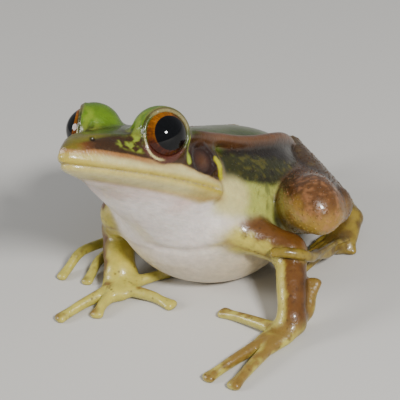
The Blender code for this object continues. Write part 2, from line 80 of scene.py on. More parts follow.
EYE_CENTRE = np.array((5.7, 14.0, 5.9))
EYE_RADIUS = 3.7
LID_RADIUS = 3.98
LID_ANGLE = 54.5                          # half the opening between the lids, in degrees
OPENING_LEFT = np.array((0.862, -0.502, 0.075))
OPENING_RIGHT = np.array((0.8, -0.598, 0.05))   # mirrored, and turned a little further forward
GAZE = {"left": 63.0, "right": 52.0}         # outward from straight ahead, in degrees
GAZE_RISE = 6.5
PUPIL_ANGLE = 38.5
IRIS_ANGLE = 63.0
CORNEA_RISE = 0.22
CORNEA_SPREAD = 34.0                      # degrees from the gaze over which the cornea's rise fades

# Places on the head's left side: out, back and up from the front of the mouth

NOSTRIL = np.array((2.05, 3.9, 4.15))
NOSTRIL_MOUND = (-0.15, 0.1, -0.2)        # from the nostril's middle
NOSTRIL_PIT = (0.1, -0.05, 0.02)
EARDRUM = np.array((9.45, 19.6, 3.3))
EARDRUM_AXIS = np.array((1.0, -0.06, 0.12))
EARDRUM_RADIUS = 2.15
SNOUT_RIDGE = ((1.4, 4.6, 4.8), (3.0, 8.0, 5.3), (4.4, 10.2, 6.0))
LORE_HOLLOW = (5.0, 8.2, 3.9)
LORE_PATCH = (5.6, 8.8, 4.3)
LORE_SIZE = (2.6, 2.8, 1.35)
EYE_BAR = ((9.0, 16.4, 6.2), (9.0, 16.9, 2.8))
GLAND = (10.0, 23.0, 2.8)
GLAND_SIZE = (1.0, 1.1, 0.9)
GLAND_STREAK = ((9.6, 22.3, 3.6), (10.1, 22.9, 2.6), (10.3, 23.7, 1.2))

# The same as back and up only

RICTUS = ((22.0, 1.5), (23.2, 1.3), (24.1, 0.5), (24.4, -0.5), (24.1, -1.6), (23.4, -2.4))
MOUTH_CORNER_SHADE = (20.6, -1.5)
SHADE_SIZE = (2.2, 0.9)
SHOULDER_PATCH = (26.0, -1.2)
SHOULDER_RADIUS = 2.9
LIP_TOP = (
    (0.5, 2.25), (3.5, 2.75), (8.0, 2.6), (12.5, 2.15), (15.5, 2.3), (17.0, 1.95), (21.0, 1.2), (24.0, 0.6),
)
SNOUT_GREEN_EDGE = ((0.5, 2.9), (2.4, 3.5), (4.0, 4.15), (6.0, 4.75), (9.5, 5.4), (11.0, 6.4))

# Tubes along the lids: distance from the eye's centre, degrees past the opening, radius

LID_RIM = (3.85, 2.2, 0.17)
LID_FOLD = (3.98, 9.5, 0.2)

GRANULE_WIDTH = 0.32
GRANULE_SPACING = 0.52
GRANULE_DENSITY = 4.0e6                   # to a square metre, before the spacing thins them out


# Body frame

def turn_matrix():
    pitch = Matrix.Rotation(-math.radians(BODY_PITCH), 3, "X")
    roll = Matrix.Rotation(-math.radians(BODY_ROLL), 3, "Y")
    return np.array(roll @ pitch)


TURN = turn_matrix()
RISE = np.array((0.0, 0.0, MOUTH_HEIGHT))


def to_floor(points):
    return np.asarray(points, float) @ TURN.T + RISE


def to_body(points):
    return (np.asarray(points, float) - RISE) @ TURN


def oval(points, centre, sizes=1.0):
    """Distance from the middle of an oval patch, 1 at its edge."""
    return np.linalg.norm((points - np.array(centre)) / np.array(sizes), axis=1)


def level_along(line, y):
    """Height at places back along a line of back and up."""
    back, up = np.transpose(line)
    return np.interp(y, back, up)


def mirrored(q):
    """Body-frame points with the right side folded onto the left."""
    return np.column_stack((np.abs(q[:, 0]), q[:, 1], q[:, 2]))


def opening_angle(q, away):
    """Angle in degrees from the middle of the lids' opening, for mirrored directions from the eye."""
    axis = np.where(q[:, :1] > 0, unit(OPENING_LEFT), unit(OPENING_RIGHT))
    return np.degrees(np.arccos(np.clip((away * axis).sum(1), -1.0, 1.0)))


def unit(vector):
    vector = np.asarray(vector, float)
    return vector / np.linalg.norm(vector)


def catmull(values, t):
    """Smooth values at positions t, one step for each listed value."""
    values = np.asarray(values, float)
    last = len(values) - 1
    i = np.minimum(np.asarray(t).astype(int), last - 1)
    f = np.asarray(t) - i
    if values.ndim > 1:
        f = f[:, None]
    a, b = values[np.maximum(i - 1, 0)], values[i]
    c, d = values[i + 1], values[np.minimum(i + 2, last)]
    return 0.5 * (2 * b + (c - a) * f + (2 * a - 5 * b + 4 * c - d) * f * f
                  + (3 * b - a - 3 * c + d) * f * f * f)


def smooth(x, low, high):
    """0 below low, 1 above high, eased between."""
    t = np.clip((x - low) / (high - low), 0.0, 1.0)
    return t * t * (3.0 - 2.0 * t)


def bell(x, width):
    return np.exp(-(x / width) ** 2)


def blend(a, b, k):
    """Union of two distances, filleted over a width."""
    h = np.maximum(k - np.abs(a - b), 0.0) / k
    return np.minimum(a, b) - h * h * k * 0.25


def carve(a, b, k):
    """Intersection of two distances, rounded over a width."""
    return -blend(-a, -b, k)


def mouth_level(y):
    return 0.4 - 0.7 * (np.clip(y, 0.0, 30.0) / MOUTH_CORNER) ** 3


# Lofts of head, jaw and trunk: back, half width, top, bottom, level of the widest line

HEAD = (
    (0.8, 0.7, 2.6, 0.6, 1.5),
    (1.6, 1.5, 3.2, 0.0, 1.5),
    (3.0, 2.6, 4.1, -0.6, 1.5),
    (5.0, 3.9, 4.8, -0.9, 1.5),
    (8.0, 5.8, 5.5, -1.1, 1.5),
    (11.0, 7.2, 6.2, -1.3, 1.5),
    (14.0, 8.3, 6.9, -1.6, 1.5),
    (17.0, 9.1, 7.4, -2.0, 1.5),
    (20.0, 9.7, 7.6, -2.6, 1.5),
    (23.0, 10.1, 7.8, -3.4, 1.5),
    (26.0, 10.3, 8.0, -4.4, 1.5),
)
JAW = (
    (1.7, 0.7, 0.9, -0.2, 0.4),
    (3.0, 1.7, 1.2, -0.7, 0.4),
    (5.0, 3.2, 1.4, -1.3, 0.39),
    (8.0, 5.2, 1.6, -1.9, 0.37),
    (11.0, 6.9, 1.8, -2.4, 0.32),
    (14.0, 8.1, 2.0, -3.5, 0.23),
    (17.0, 9.0, 2.2, -5.2, 0.1),
    (20.0, 9.7, 2.4, -6.7, -0.09),
    (23.0, 10.2, 2.6, -8.1, -0.35),
    (25.3, 10.4, 2.8, -9.3, -0.6),
)
TRUNK = (
    (22.0, 9.9, 7.7, -7.9, -0.4),
    (24.6, 10.2, 7.6, -9.0, -1.6),
    (28.5, 11.6, 8.4, -12.0, -2.0),
    (33.0, 12.6, 9.1, -13.6, -2.4),
    (38.0, 13.0, 9.9, -13.4, -2.2),
    (42.0, 12.3, 10.2, -11.3, -1.4),
    (46.0, 10.6, 9.9, -8.7, -0.4),
    (50.0, 8.2, 8.6, -5.9, 0.8),
    (54.0, 5.9, 6.4, -3.0, 1.6),
    (57.0, 4.0, 4.4, -0.7, 1.8),
    (59.0, 2.2, 3.0, 0.6, 1.8),
)


def loft(profile, upper_power, lower_power, round_end):
    t = np.linspace(0.0, len(profile) - 1.0, 240)
    return catmull(profile, t), upper_power, lower_power, round_end


HEAD_LOFT = loft(HEAD, 2.3, 2.2, 0.5)
JAW_LOFT = loft(JAW, 2.0, 1.55, 0.3)
TRUNK_LOFT = loft(TRUNK, 2.05, 2.1, 0.8)


def loft_distance(form, q):
    """Distance from body-frame points to a loft, measured out from its middle line."""
    table, upper_power, lower_power, round_end = form
    y = np.clip(q[:, 1], table[0, 0], table[-1, 0])
    wide, top, bottom, level = (np.interp(y, table[:, 0], table[:, c]) for c in (1, 2, 3, 4))
    x = np.abs(q[:, 0])
    z = q[:, 2] - level
    tall = np.where(z >= 0, top - level, level - bottom)
    power = np.where(z >= 0, upper_power, lower_power)
    ratio = ((x / wide) ** power + (np.abs(z) / tall) ** power) ** (1.0 / power)
    reach = np.sqrt(x * x + z * z)
    ratio = np.maximum(ratio, 0.05)
    out = reach * (1.0 - 1.0 / ratio)
    out = np.where(reach < 0.3, np.maximum(out, -np.minimum(wide, tall)), out)
    past = np.abs(q[:, 1] - y)
    a, b = out + round_end, past + round_end
    ends = np.sqrt(np.maximum(a, 0) ** 2 + b * b) - round_end
    return np.where(past > 0, ends, out)


# Chains of round sections for limbs, digits and folds

def chain(stations, samples=5, up=(0.0, 0.0, 1.0)):
    """Segments through stations of (point, half width, half height)."""
    points = np.array([s[0] for s in stations], float)
    sizes = np.array([s[1:] for s in stations], float)
    t = np.linspace(0.0, len(points) - 1.0, (len(points) - 1) * samples + 1)
    p, s = catmull(points, t), catmull(sizes, t)
    segments = []
    for i in range(len(t) - 1):
        along = unit(p[i + 1] - p[i])
        side = unit(np.cross(along, up))
        segments.append((p[i], p[i + 1], s[i], s[i + 1], along, side, np.cross(side, along)))
    margin = sizes.max() + REACH
    return segments, p.min(0) - margin, p.max(0) + margin


def chain_distance(form, p):
    segments, low, high = form
    out = np.full(len(p), FAR)
    near = np.all((p > low) & (p < high), axis=1)
    x = p[near]
    best = np.full(len(x), FAR)
    for a, b, size_a, size_b, along, side, top in segments:
        length = np.linalg.norm(b - a)
        v = x - a
        t = np.clip((v @ along) / length, 0.0, 1.0)
        v = v - np.outer(t * length, along)
        wide = size_a[0] + (size_b[0] - size_a[0]) * t
        tall = size_a[1] + (size_b[1] - size_a[1]) * t
        small = np.minimum(wide, tall)
        reach = np.sqrt((v * v).sum(1)) + 1e-9
        ratio = np.sqrt((v @ side / wide) ** 2 + (v @ top / tall) ** 2 + (v @ along / small) ** 2)
        ratio = np.maximum(ratio, 1e-3)
        best = np.minimum(best, np.maximum(reach * (1.0 - 1.0 / ratio), -small))
    out[near] = best
    return out


UPPER_ARM = {
    "left": (((8.8, 21.0, 12.0), 3.3, 3.2), ((13.5, 22.4, 10.1), 2.75, 2.65), ((17.9, 23.1, 8.2), 2.3, 2.3)),
    "right": (((-8.0, 20.2, 12.0), 3.3, 3.2), ((-11.4, 23.3, 8.6), 2.7, 2.6), ((-13.9, 25.6, 5.8), 2.0, 2.0)),
}
FOREARM = {
    "left": (((18.3, 22.9, 7.7), 2.1, 2.1), ((20.3, 19.0, 5.3), 2.15, 2.1), ((21.9, 15.4, 2.7), 1.85, 1.75)),
    "right": (((-14.0, 25.4, 5.3), 2.1, 2.1), ((-11.9, 22.1, 3.8), 2.4, 2.2), ((-9.9, 19.0, 2.4), 2.2, 1.9)),
}
PALM = {
    "left": (((22.0, 15.0, 1.8), 1.9, 1.5), ((21.2, 12.8, 1.2), 2.3, 1.3), ((20.4, 10.6, 1.0), 1.9, 1.1)),
    "right": (((-9.7, 18.9, 1.7), 2.3, 1.6), ((-8.8, 16.9, 1.2), 2.8, 1.3), ((-8.4, 15.0, 1.0), 2.3, 1.1)),
}
FINGERS = {
    "left": (
        ((21.6, 14.6, 1.4), (22.8, 18.0, 1.7), (22.4, 21.6, 4.6)),
        ((20.2, 13.8, 1.2), (15.0, 15.0, 1.0), (9.8, 16.2, 0.45)),
        ((20.0, 11.2, 1.1), (18.0, 6.0, 0.95), (16.2, 1.6, 0.45)),
        ((21.2, 11.2, 1.1), (21.0, 5.9, 0.95), (20.6, 1.1, 0.45)),
    ),
    "right": (
        ((-7.6, 17.8, 1.2), (-5.8, 20.4, 1.0), (-4.6, 22.8, 0.45)),
        ((-7.6, 16.4, 1.2), (-2.8, 16.2, 1.0), (1.1, 15.6, 0.45)),
        ((-8.6, 15.2, 1.1), (-8.7, 12.4, 1.0), (-8.5, 10.1, 0.45)),
        ((-9.8, 15.4, 1.1), (-11.6, 11.4, 1.0), (-13.4, 7.6, 0.45)),
    ),
}
THIGH = {
    "left": (((6.5, 43.5, 6.0), 4.8, 4.8), ((14.4, 34.2, 9.6), 4.7, 4.7), ((20.2, 27.3, 13.9), 4.1, 4.1),
             ((22.3, 26.0, 13.6), 3.1, 3.1)),
    "right": (((-6.2, 43.5, 6.2), 4.6, 4.6), ((-14.4, 37.2, 10.1), 4.6, 4.6), ((-19.2, 32.4, 14.2), 4.0, 4.0),
              ((-20.9, 31.0, 14.6), 3.1, 3.1)),
}
SHANK = {
    "left": (((22.0, 29.8, 12.5), 2.8, 2.8), ((13.6, 38.9, 10.5), 2.5, 2.6), ((5.3, 46.6, 10.4), 1.9, 2.0)),
    "right": (((-20.8, 34.8, 13.2), 2.8, 2.8), ((-14.2, 42.8, 10.8), 2.6, 2.6), ((-7, 49.4, 9.4), 1.9, 2.0)),
}
TARSUS = {
    "left": (((5.6, 47.1, 8.8), 1.6, 1.6), ((9.6, 46.4, 6.0), 1.5, 1.6), ((14.0, 44.4, 4.3), 1.5, 1.6),
             ((17.0, 41.6, 3.2), 1.6, 1.5)),
    "right": (((-7.2, 49.9, 7.8), 1.6, 1.6), ((-9.2, 47.8, 4.8), 1.5, 1.6), ((-11.6, 44.8, 2.8), 1.5, 1.5),
              ((-13.4, 41.8, 1.7), 1.7, 1.35)),
}
SOLE = {
    "left": (((17.6, 41.2, 3.0), 1.8, 1.4), ((17.6, 38.4, 1.9), 2.3, 1.4), ((17.4, 36.2, 1.1), 2.0, 1.2)),
    "right": (((-13.6, 41.2, 1.4), 1.8, 1.2), ((-14.8, 37.4, 1.1), 2.4, 1.15),
              ((-15.6, 34.0, 1.0), 2.3, 1.1)),
}
TOES = {
    "left": (
        ((16.4, 38.4, 1.5), (14.6, 37.0, 1.0), (13.9, 35.6, 0.4)),
        ((16.6, 37.4, 1.5), (15.0, 34.0, 1.0), (13.8, 31.4, 0.4)),
        ((17.2, 36.6, 1.6), (16.0, 31.8, 1.1), (15.0, 27.6, 0.4)),
        ((17.9, 37.0, 1.8), (18.4, 32.4, 2.4), (19.0, 28.2, 4.7), (21.2, 23.6, 7.4),
         (20.9, 21.4, 9.1), (19.5, 20.2, 9.9), (17.8, 19.7, 9.9)),
        ((18.2, 40.2, 2.6), (19.2, 38.2, 1.8), (19.7, 36.4, 0.45)),
    ),
    "right": (
        ((-14.2, 37.4, 1.2), (-13.4, 34.6, 0.9), (-13.4, 32.0, 0.4)),
        ((-14.8, 35.4, 1.2), (-14.2, 31.0, 0.9), (-14.0, 27.6, 0.4)),
        ((-15.4, 34.2, 1.2), (-16.0, 27.4, 1.1), (-16.0, 22.0, 1.4), (-15.4, 17.4, 0.4)),
        ((-16.0, 34.2, 1.2), (-18.0, 27.2, 1.5), (-19.4, 22.2, 2.2), (-20.2, 17.4, 0.4)),
        ((-16.4, 35.6, 1.2), (-18.4, 31.6, 0.9), (-19.6, 28.0, 0.4)),
    ),
}
FINGER_RADIUS, FINGER_TIP = 0.8, 1.1
TOE_RADIUS, TOE_TIP = 0.75, 0.95
WEB_REACH = (0.7, 0.7, 0.55, 0.5)
WEB_RADIUS = 0.3

FOLD_PATH = (
    (7.6, 16.8, 6.2), (8.0, 19.0, 6.5), (8.0, 22.5, 6.6), (7.9, 25.6, 6.8), (8.1, 29.0, 6.9),
    (8.2, 33.5, 7.4), (8.0, 38.0, 8.2), (7.2, 42.5, 8.8), (6.0, 46.5, 8.5), (4.9, 50.0, 7.1),
)
FOLD_RADIUS = 0.85


def digit(route, radius, tip):
    points = [np.array(p, float) for p in route]
    back = points[-2] - points[-1]
    length = np.linalg.norm(back)
    neck = points[-1] + back / length * min(1.9, 0.5 * length)
    stations = [(points[0], radius * 1.25, radius * 1.2)]
    stations += [(p, radius, radius) for p in points[1:-1]] + [(neck, radius * 0.92, radius * 0.92)]
    stations.append((points[-1], tip, tip * 0.62))
    return chain(stations, samples=4)


def web(near, far, reach):
    """A thin sheet between two toes, as close-set rows across it."""
    segments = []
    lows, highs = [], []
    for share in np.linspace(0.05, reach, 13):
        rows = []
        for route in (near, far):
            last = len(route) - 1
            rows.append(catmull(route, np.array([share, 0.72 * share]) * last))
        middle = 0.5 * (rows[0][1] + rows[1][1])
        for a, b in ((rows[0][0], middle), (middle, rows[1][0])):
            along = unit(b - a)
            side = unit(np.cross(along, (0.0, 0.0, 1.0)))
            size = np.array((WEB_RADIUS * 1.8, WEB_RADIUS))
            segments.append((a, b, size, size, along, side, np.cross(side, along)))
            lows.append(np.minimum(a, b))
            highs.append(np.maximum(a, b))
    return segments, np.min(lows, 0) - REACH, np.max(highs, 0) + REACH


def joined(first, second):
    """A filler bar from the end of one limb segment to the start of the next."""
    (a, wide_a, tall_a), (b, wide_b, tall_b) = first, second
    return chain([(a, wide_a * 0.98, tall_a * 0.98), (b, wide_b * 0.98, tall_b * 0.98)], samples=2)


LIMBS = {}
for limb_side in ("left", "right"):
    LIMBS[limb_side] = {
        "upper_arm": [chain(UPPER_ARM[limb_side]), joined(UPPER_ARM[limb_side][-1], FOREARM[limb_side][0])],
        "forearm": [chain(FOREARM[limb_side]), joined(FOREARM[limb_side][-1], PALM[limb_side][0])],
        "palm": [chain(PALM[limb_side])],
        "fingers": [digit(r, FINGER_RADIUS, FINGER_TIP) for r in FINGERS[limb_side]],
        "thigh": [chain(THIGH[limb_side])],
        "knee": [joined(THIGH[limb_side][-1], SHANK[limb_side][0])],
        "shank": [chain(SHANK[limb_side])],
        "tarsus": [chain(TARSUS[limb_side]), joined(SHANK[limb_side][-1], TARSUS[limb_side][0]),
                   joined(TARSUS[limb_side][-1], SOLE[limb_side][0])],
        "sole": [chain(SOLE[limb_side])],
        "toes": [digit(r, TOE_RADIUS, TOE_TIP) for r in TOES[limb_side]],
        "webs": [web(a, b, reach) for a, b, reach in zip(TOES[limb_side], TOES[limb_side][1:], WEB_REACH)],
    }
FOLDS = []
for side_sign in (1, -1):
    fold_route = to_floor([(x * side_sign, y, z) for x, y, z in FOLD_PATH])
    FOLDS.append(chain([(p, FOLD_RADIUS, FOLD_RADIUS) for p in fold_route], samples=3))


def group_distance(forms, p, k):
    out = chain_distance(forms[0], p)
    for form in forms[1:]:
        out = blend(out, chain_distance(form, p), k)
    return out


def path_distance(points, path):
    """Distance from points to a bent line."""
    path = np.asarray(path, float)
    best = np.full(len(points), 1e9)
    for a, b in zip(path, path[1:]):
        ab = b - a
        t = np.clip(((points - a) @ ab) / (ab @ ab), 0.0, 1.0)
        best = np.minimum(best, np.linalg.norm(points - a - np.outer(t, ab), axis=1))
    return best


def hash_noise(points, size, seed):
    """Smooth value noise from -1 to 1, with cells of a size in millimetres."""
    x = points / size + seed * 17.31
    cell = np.floor(x).astype(np.int64)
    f = x - cell
    f = f * f * (3.0 - 2.0 * f)
    total = np.zeros(len(points))
    for corner in range(8):
        step = np.array([(corner >> a) & 1 for a in range(3)])
        key = cell + step
        mix = key[:, 0] * 73856093 ^ key[:, 1] * 19349663 ^ key[:, 2] * 83492791 ^ (seed * 2654435)
        mix = (mix ^ (mix >> 13)) * 1274126177
        value = ((mix ^ (mix >> 16)) & 0xFFFF) / 32767.5 - 1.0
        weight = np.prod(np.where(step == 1, f, 1.0 - f), axis=1)
        total += weight * value
    return total


def round_eardrum(left):
    """Distances of points out from the eardrum's axis, and along it."""
    axis = unit(EARDRUM_AXIS)
    v = left - EARDRUM
    deep = v @ axis
    return np.linalg.norm(v - np.outer(deep, axis), axis=1), deep


def head_relief(q):
    """Small forms of the head, in millimetres, positive inwards."""
    left = mirrored(q)
    y, z = left[:, 1], left[:, 2]
    above = z - mouth_level(y)
    along = 1.0 - smooth(y, MOUTH_CORNER - 0.8, MOUTH_CORNER + 0.4)
    fading = 1.0 - smooth(y, 17.5, MOUTH_CORNER + 0.8)
    # line of the mouth, both lips and the groove under the lower one
    out = 0.28 * bell(above, 0.2) * along
    out -= 0.16 * bell(above - 0.8, 0.5) * fading
    out -= 0.18 * bell(above + 0.75, 0.45) * fading
    out += 0.22 * bell(above + 1.6, 0.4) * fading * smooth(y, 3.0, 6.0)
    # crease round the mouth's corner, ridge from nostril to eye, hollow under the ridge, gland
    out += 0.2 * bell(path_distance(left[:, 1:], RICTUS), 0.4) * (left[:, 0] > 6)
    out -= 0.22 * bell(path_distance(left, SNOUT_RIDGE), 0.7)
    out += 0.4 * bell(oval(left, LORE_HOLLOW), 1.9)
    out -= 0.3 * bell(oval(left, GLAND, GLAND_SIZE), 0.9)
    # eardrum: a sunk disc with a rim round it and a boss in the middle
    around, deep = round_eardrum(left)
    disc = np.where(np.abs(deep) < 1.6, 1.0, 0.0)
    sunk = 0.17 * smooth(-around, -EARDRUM_RADIUS, -1.6)
    ring = 0.1 * bell(around - EARDRUM_RADIUS - 0.2, 0.35)
    out += disc * (sunk - ring - 0.1 * bell(around, 0.6))
    return out - 0.26 * bell(oval(left - NOSTRIL, NOSTRIL_MOUND), 0.75)


# Creases across the chest, behind the arm and before the thigh: path, depth, width

CHEST_CREASE = ((-1.8, 24.8, -9.2), (2.5, 25.4, -9.6), (5.9, 26.2, -9.0), (9.6, 27.6, -7.2))
BODY_CREASES = (
    (CHEST_CREASE, 0.45, 0.55),
    (((9.7, 25.6, -3.2), (10.9, 28.0, -1.6), (11.9, 31.0, -0.4)), 0.16, 0.6),
    (((12.6, 35.2, 3.2), (12.8, 36.4, 0.0), (13.0, 37.2, -3.6)), 0.25, 0.45),
)


def body_distance(p, q):
    """Head and trunk with folds and lids."""
    head = blend(loft_distance(HEAD_LOFT, q), loft_distance(JAW_LOFT, q), 0.5)
    share = smooth(q[:, 1], *NECK)
    body = head * (1.0 - share) + loft_distance(TRUNK_LOFT, q) * share
    for fold in FOLDS:
        body = blend(body, chain_distance(fold, p), 1.5)
    close = (np.abs(body) < HEAD_REACH) & (q[:, 1] < 30.0)
    near = q[close]
    part = body[close]
    left = mirrored(near)
    v = left - EYE_CENTRE
    reach = np.linalg.norm(v, axis=1) + 1e-9
    angle = opening_angle(near, v / reach[:, None])
    lid = reach - (LID_RADIUS + 0.1 * smooth(v[:, 2] / reach, -0.2, 0.7))
    part = blend(part, lid, 1.2)
    part = part + head_relief(near)
    gap = reach * np.radians(LID_ANGLE - angle)
    part = np.where(reach < 7.5, carve(part, gap, 0.3), part)
    rim, fold = (np.hypot(reach - out, reach * np.radians(angle - LID_ANGLE - past)) - radius
                 for out, past, radius in (LID_RIM, LID_FOLD))
    rim = np.where(v[:, 2] > 0.5, np.minimum(rim, fold), rim)
    part = np.where(reach < 6.0, blend(part, rim, 0.3), part)
    pit = 0.4 - oval(left - NOSTRIL, NOSTRIL_PIT)
    part = carve(part, pit, 0.15)
    body[close] = part
    for path, depth, width in BODY_CREASES:
        body = body + depth * bell(path_distance(q, path), width)
    return body


# How widely the forms of a group run together

GROUP_BLENDS = {
    "upper_arm": 1.0, "forearm": 1.0, "palm": 0.6, "fingers": 0.35, "thigh": 1.0, "knee": 0.5,
    "shank": 0.6, "tarsus": 0.9, "sole": 0.6, "toes": 0.25, "webs": 0.25,
}


def skin_parts(p):
    """Distances of points to each region of the frog."""
    q = to_body(p)
    parts = {"body": body_distance(p, q)}
    for side, limb in LIMBS.items():
        for name, k in GROUP_BLENDS.items():
            parts[name + "_" + side] = group_distance(limb[name], p, k)
    return parts


def skin_distance(p):
    """Distance of floor-frame points to the whole skin."""
    parts = skin_parts(p)
    skin = parts["body"]
    for side in ("left", "right"):
        upper = blend(parts["upper_arm_" + side], parts["forearm_" + side], 1.2)
        hand = blend(parts["palm_" + side], parts["fingers_" + side], 0.7)
        arm = blend(upper, hand, 1.0)
        thigh = blend(parts["thigh_" + side], parts["knee_" + side], 0.7)
        foot = blend(blend(parts["sole_" + side], parts["toes_" + side], 0.6), parts["webs_" + side], 0.3)
        low_leg = blend(parts["shank_" + side], parts["knee_" + side], 0.5)
        low_leg = blend(low_leg, blend(parts["tarsus_" + side], foot, 0.8), 0.35)
        skin = blend(skin, arm, 1.3)
        skin = blend(skin, thigh, 1.0)
        skin = blend(skin, low_leg, 0.3)
    return carve(skin, -p[:, 2], 0.25)


# Net over the zero level

def net_surface(values, low, step):
    """Corner points and quads where a grid of distances changes sign."""
    inside = values < 0
    corners = [np.array([(c >> a) & 1 for a in range(3)]) for c in range(8)]
    size = np.array(values.shape) - 1
    count = np.zeros(size, np.int8)
    for c in corners:
        count += inside[c[0]:c[0] + size[0], c[1]:c[1] + size[1], c[2]:c[2] + size[2]]
    cells = np.argwhere((count > 0) & (count < 8))
    index = np.full(size, -1, np.int64)
    index[tuple(cells.T)] = np.arange(len(cells))
    total = np.zeros((len(cells), 3))
    crossings = np.zeros(len(cells))
    for a in range(8):
        for axis in range(3):
            if (a >> axis) & 1:
                continue
            start, end = corners[a], corners[a | (1 << axis)]
            va = values[tuple((cells + start).T)]
            vb = values[tuple((cells + end).T)]
            crossed = (va < 0) != (vb < 0)
            share = np.where(crossed, va / np.where(crossed, va - vb, 1.0), 0.0)
            total += np.where(crossed[:, None], start + np.outer(share, end - start), 0.0)
            crossings += crossed
    points = low + step * (cells + total / crossings[:, None])
    quads = []
    for axis in range(3):
        u, v = (axis + 1) % 3, (axis + 2) % 3
        first = [slice(None)] * 3
        second = [slice(None)] * 3
        first[axis], second[axis] = slice(0, -1), slice(1, None)
        change = inside[tuple(first)] != inside[tuple(second)]
        at = np.argwhere(change)
        at = at[(at[:, u] > 0) & (at[:, v] > 0) & (at[:, u] < size[u]) & (at[:, v] < size[v])]
        step_u, step_v = np.zeros(3, int), np.zeros(3, int)
        step_u[u], step_v[v] = 1, 1
        ring = [index[tuple((at - off).T)] for off in (step_u + step_v, step_v, np.zeros(3, int), step_u)]
        ring = np.stack(ring, 1)
        outward = inside[tuple(at.T)]
        ring[~outward] = ring[~outward][:, ::-1]
        quads.append(ring)
    return points, np.concatenate(quads)


def settle(points, rounds, limit):
    """Moves points onto the skin's zero level."""
    reach = 0.02
    for _ in range(rounds):
        here = skin_distance(points)
        slope = np.stack([(skin_distance(points + reach * np.eye(3)[a]) - here) / reach for a in range(3)], 1)
        strength = np.maximum((slope * slope).sum(1), 0.15)
        move = -slope * (here / strength)[:, None]
        length = np.linalg.norm(move, axis=1)
        move *= np.minimum(1.0, limit / np.maximum(length, 1e-9))[:, None]
        points = points + move
    return points


def fine_region(p):
    """Where the net is halved: round the eyes, along the lips and cheeks, and at nostrils and eardrums."""
    q = to_body(p)
    left = mirrored(q)
    above = left[:, 2] - mouth_level(left[:, 1])
    lids = oval(left, EYE_CENTRE) < 5.3
    cheeks = (above > -1.9) & (above < 4.4) & (left[:, 1] < 25.0)
    drums = oval(left, EARDRUM) < 3.2
    return lids | cheeks | drums


def make_skin():
    """Mesh over the skin's zero level, in the floor frame."""
    low = cad_box_floor[0] - SKIN_MARGIN
    high = cad_box_floor[1] + SKIN_MARGIN
    low[2] = -SKIN_MARGIN
    shape = np.ceil((high - low) / VOXEL).astype(int) + 1
    axes = [low[a] + VOXEL * np.arange(shape[a]) for a in range(3)]
    values = np.empty(shape)
    for i, x in enumerate(axes[0]):
        yy, zz = np.meshgrid(axes[1], axes[2], indexing="ij")
        p = np.column_stack((np.full(yy.size, x), yy.ravel(), zz.ravel()))
        values[i] = skin_distance(p).reshape(yy.shape)
    points, quads = net_surface(values, low, VOXEL)
    mesh = bpy.data.meshes.new("frog_skin")
    mesh.from_pydata(points.tolist(), [], quads.tolist())
    bm = bmesh.new()
    bm.from_mesh(mesh)
    keep_largest(bm)
    bm.verts.ensure_lookup_table()
    where = np.array([v.co[:] for v in bm.verts])
    fine = fine_region(where)
    for i, vert in enumerate(bm.verts):
        vert.tag = bool(fine[i])
    split = [e for e in bm.edges if e.verts[0].tag and e.verts[1].tag]
    if split:
        bmesh.ops.subdivide_edges(bm, edges=split, cuts=1, use_grid_fill=True)
    bm.verts.ensure_lookup_table()
    where = settle(np.array([v.co[:] for v in bm.verts]), rounds=3, limit=0.2)
    for vert, spot in zip(bm.verts, where):
        vert.co = spot
    bmesh.ops.recalc_face_normals(bm, faces=bm.faces)
    bm.to_mesh(mesh)
    bm.free()
    mesh.shade_smooth()
    return mesh


def keep_largest(bm):
    """Drops every separate surface of a bmesh except the largest."""
    seen = set()
    groups = []
    for face in bm.faces:
        if face in seen:
            continue
        group, queue = [], [face]
        seen.add(face)
        while queue:
            here = queue.pop()
            group.append(here)
            for edge in here.edges:
                for other in edge.link_faces:
                    if other not in seen:
                        seen.add(other)
                        queue.append(other)
        groups.append(group)
    groups.sort(key=len)
    bmesh.ops.delete(bm, geom=[f for g in groups[:-1] for f in g], context="FACES")
    bmesh.ops.delete(bm, geom=[v for v in bm.verts if not v.link_faces], context="VERTS")


# Colour

def linear(code):
    """Linear colour of an sRGB hex value."""
    parts = [int(code[i:i + 2], 16) / 255.0 for i in (1, 3, 5)]
    return np.array([c / 12.92 if c <= 0.04045 else ((c + 0.055) / 1.055) ** 2.4 for c in parts])


CROWN_GREEN = linear("#3f480d")
LID_GREEN = linear("#5a790c")
BACK_GREEN = linear("#435012")
SNOUT_OLIVE = linear("#6e661c")
STRIPE_BROWN = linear("#38230f")
LIP_ORANGE = linear("#8c4f1c")
LIP_CREAM = linear("#c4b87e")
LIP_YELLOW = linear("#b39f38")
MOUTH_SHADE_OLIVE = linear("#806a24")
JAW_SHADOW_BROWN = linear("#8f6a3c")
THROAT_WHITE = linear("#e0d6cf")
BELLY_CREAM = linear("#cfc09b")
LORE_GREEN = linear("#8a9a2e")
EARDRUM_BROWN = linear("#3f2417")
EARDRUM_DARK = linear("#25130c")
BAR_GREEN = linear("#94a332")
GLAND_YELLOW = linear("#b3ad18")
FOLD_COPPER = linear("#4d2f17")
FOLD_LIGHT = linear("#7a5132")
FLANK_DARK = linear("#1c130a")
FLANK_OLIVE = linear("#2c2c10")
FLANK_PALE = linear("#a3a652")
SPOT_GREY = linear("#565a34")
THIGH_BROWN = linear("#4b2c12")
KNEE_BROWN = linear("#64401f")
KNEE_PINK = linear("#a8744c")
THIGH_GOLD = linear("#94702a")
SHANK_BROWN = linear("#4c3418")
SHANK_LIGHT = linear("#86702e")
# dark brown of the arms' net and outer forearm, also painted shade in the lid's groove, under the shanks and
# between thigh and shank
MARK_AND_SHADE_BROWN = linear("#2e1a0c")
LID_RED = linear("#4a2418")
THROAT_PINK = linear("#cfa89c")
ARM_BROWN = linear("#643f18")
ARM_YELLOW = linear("#b8a948")
HAND_YELLOW = linear("#b4a84c")
TIP_BROWN = linear("#6f4d20")
FOOT_OLIVE = linear("#86712a")
LID_BEIGE = linear("#7d7348")
SPECK_BROWN = linear("#3a2415")


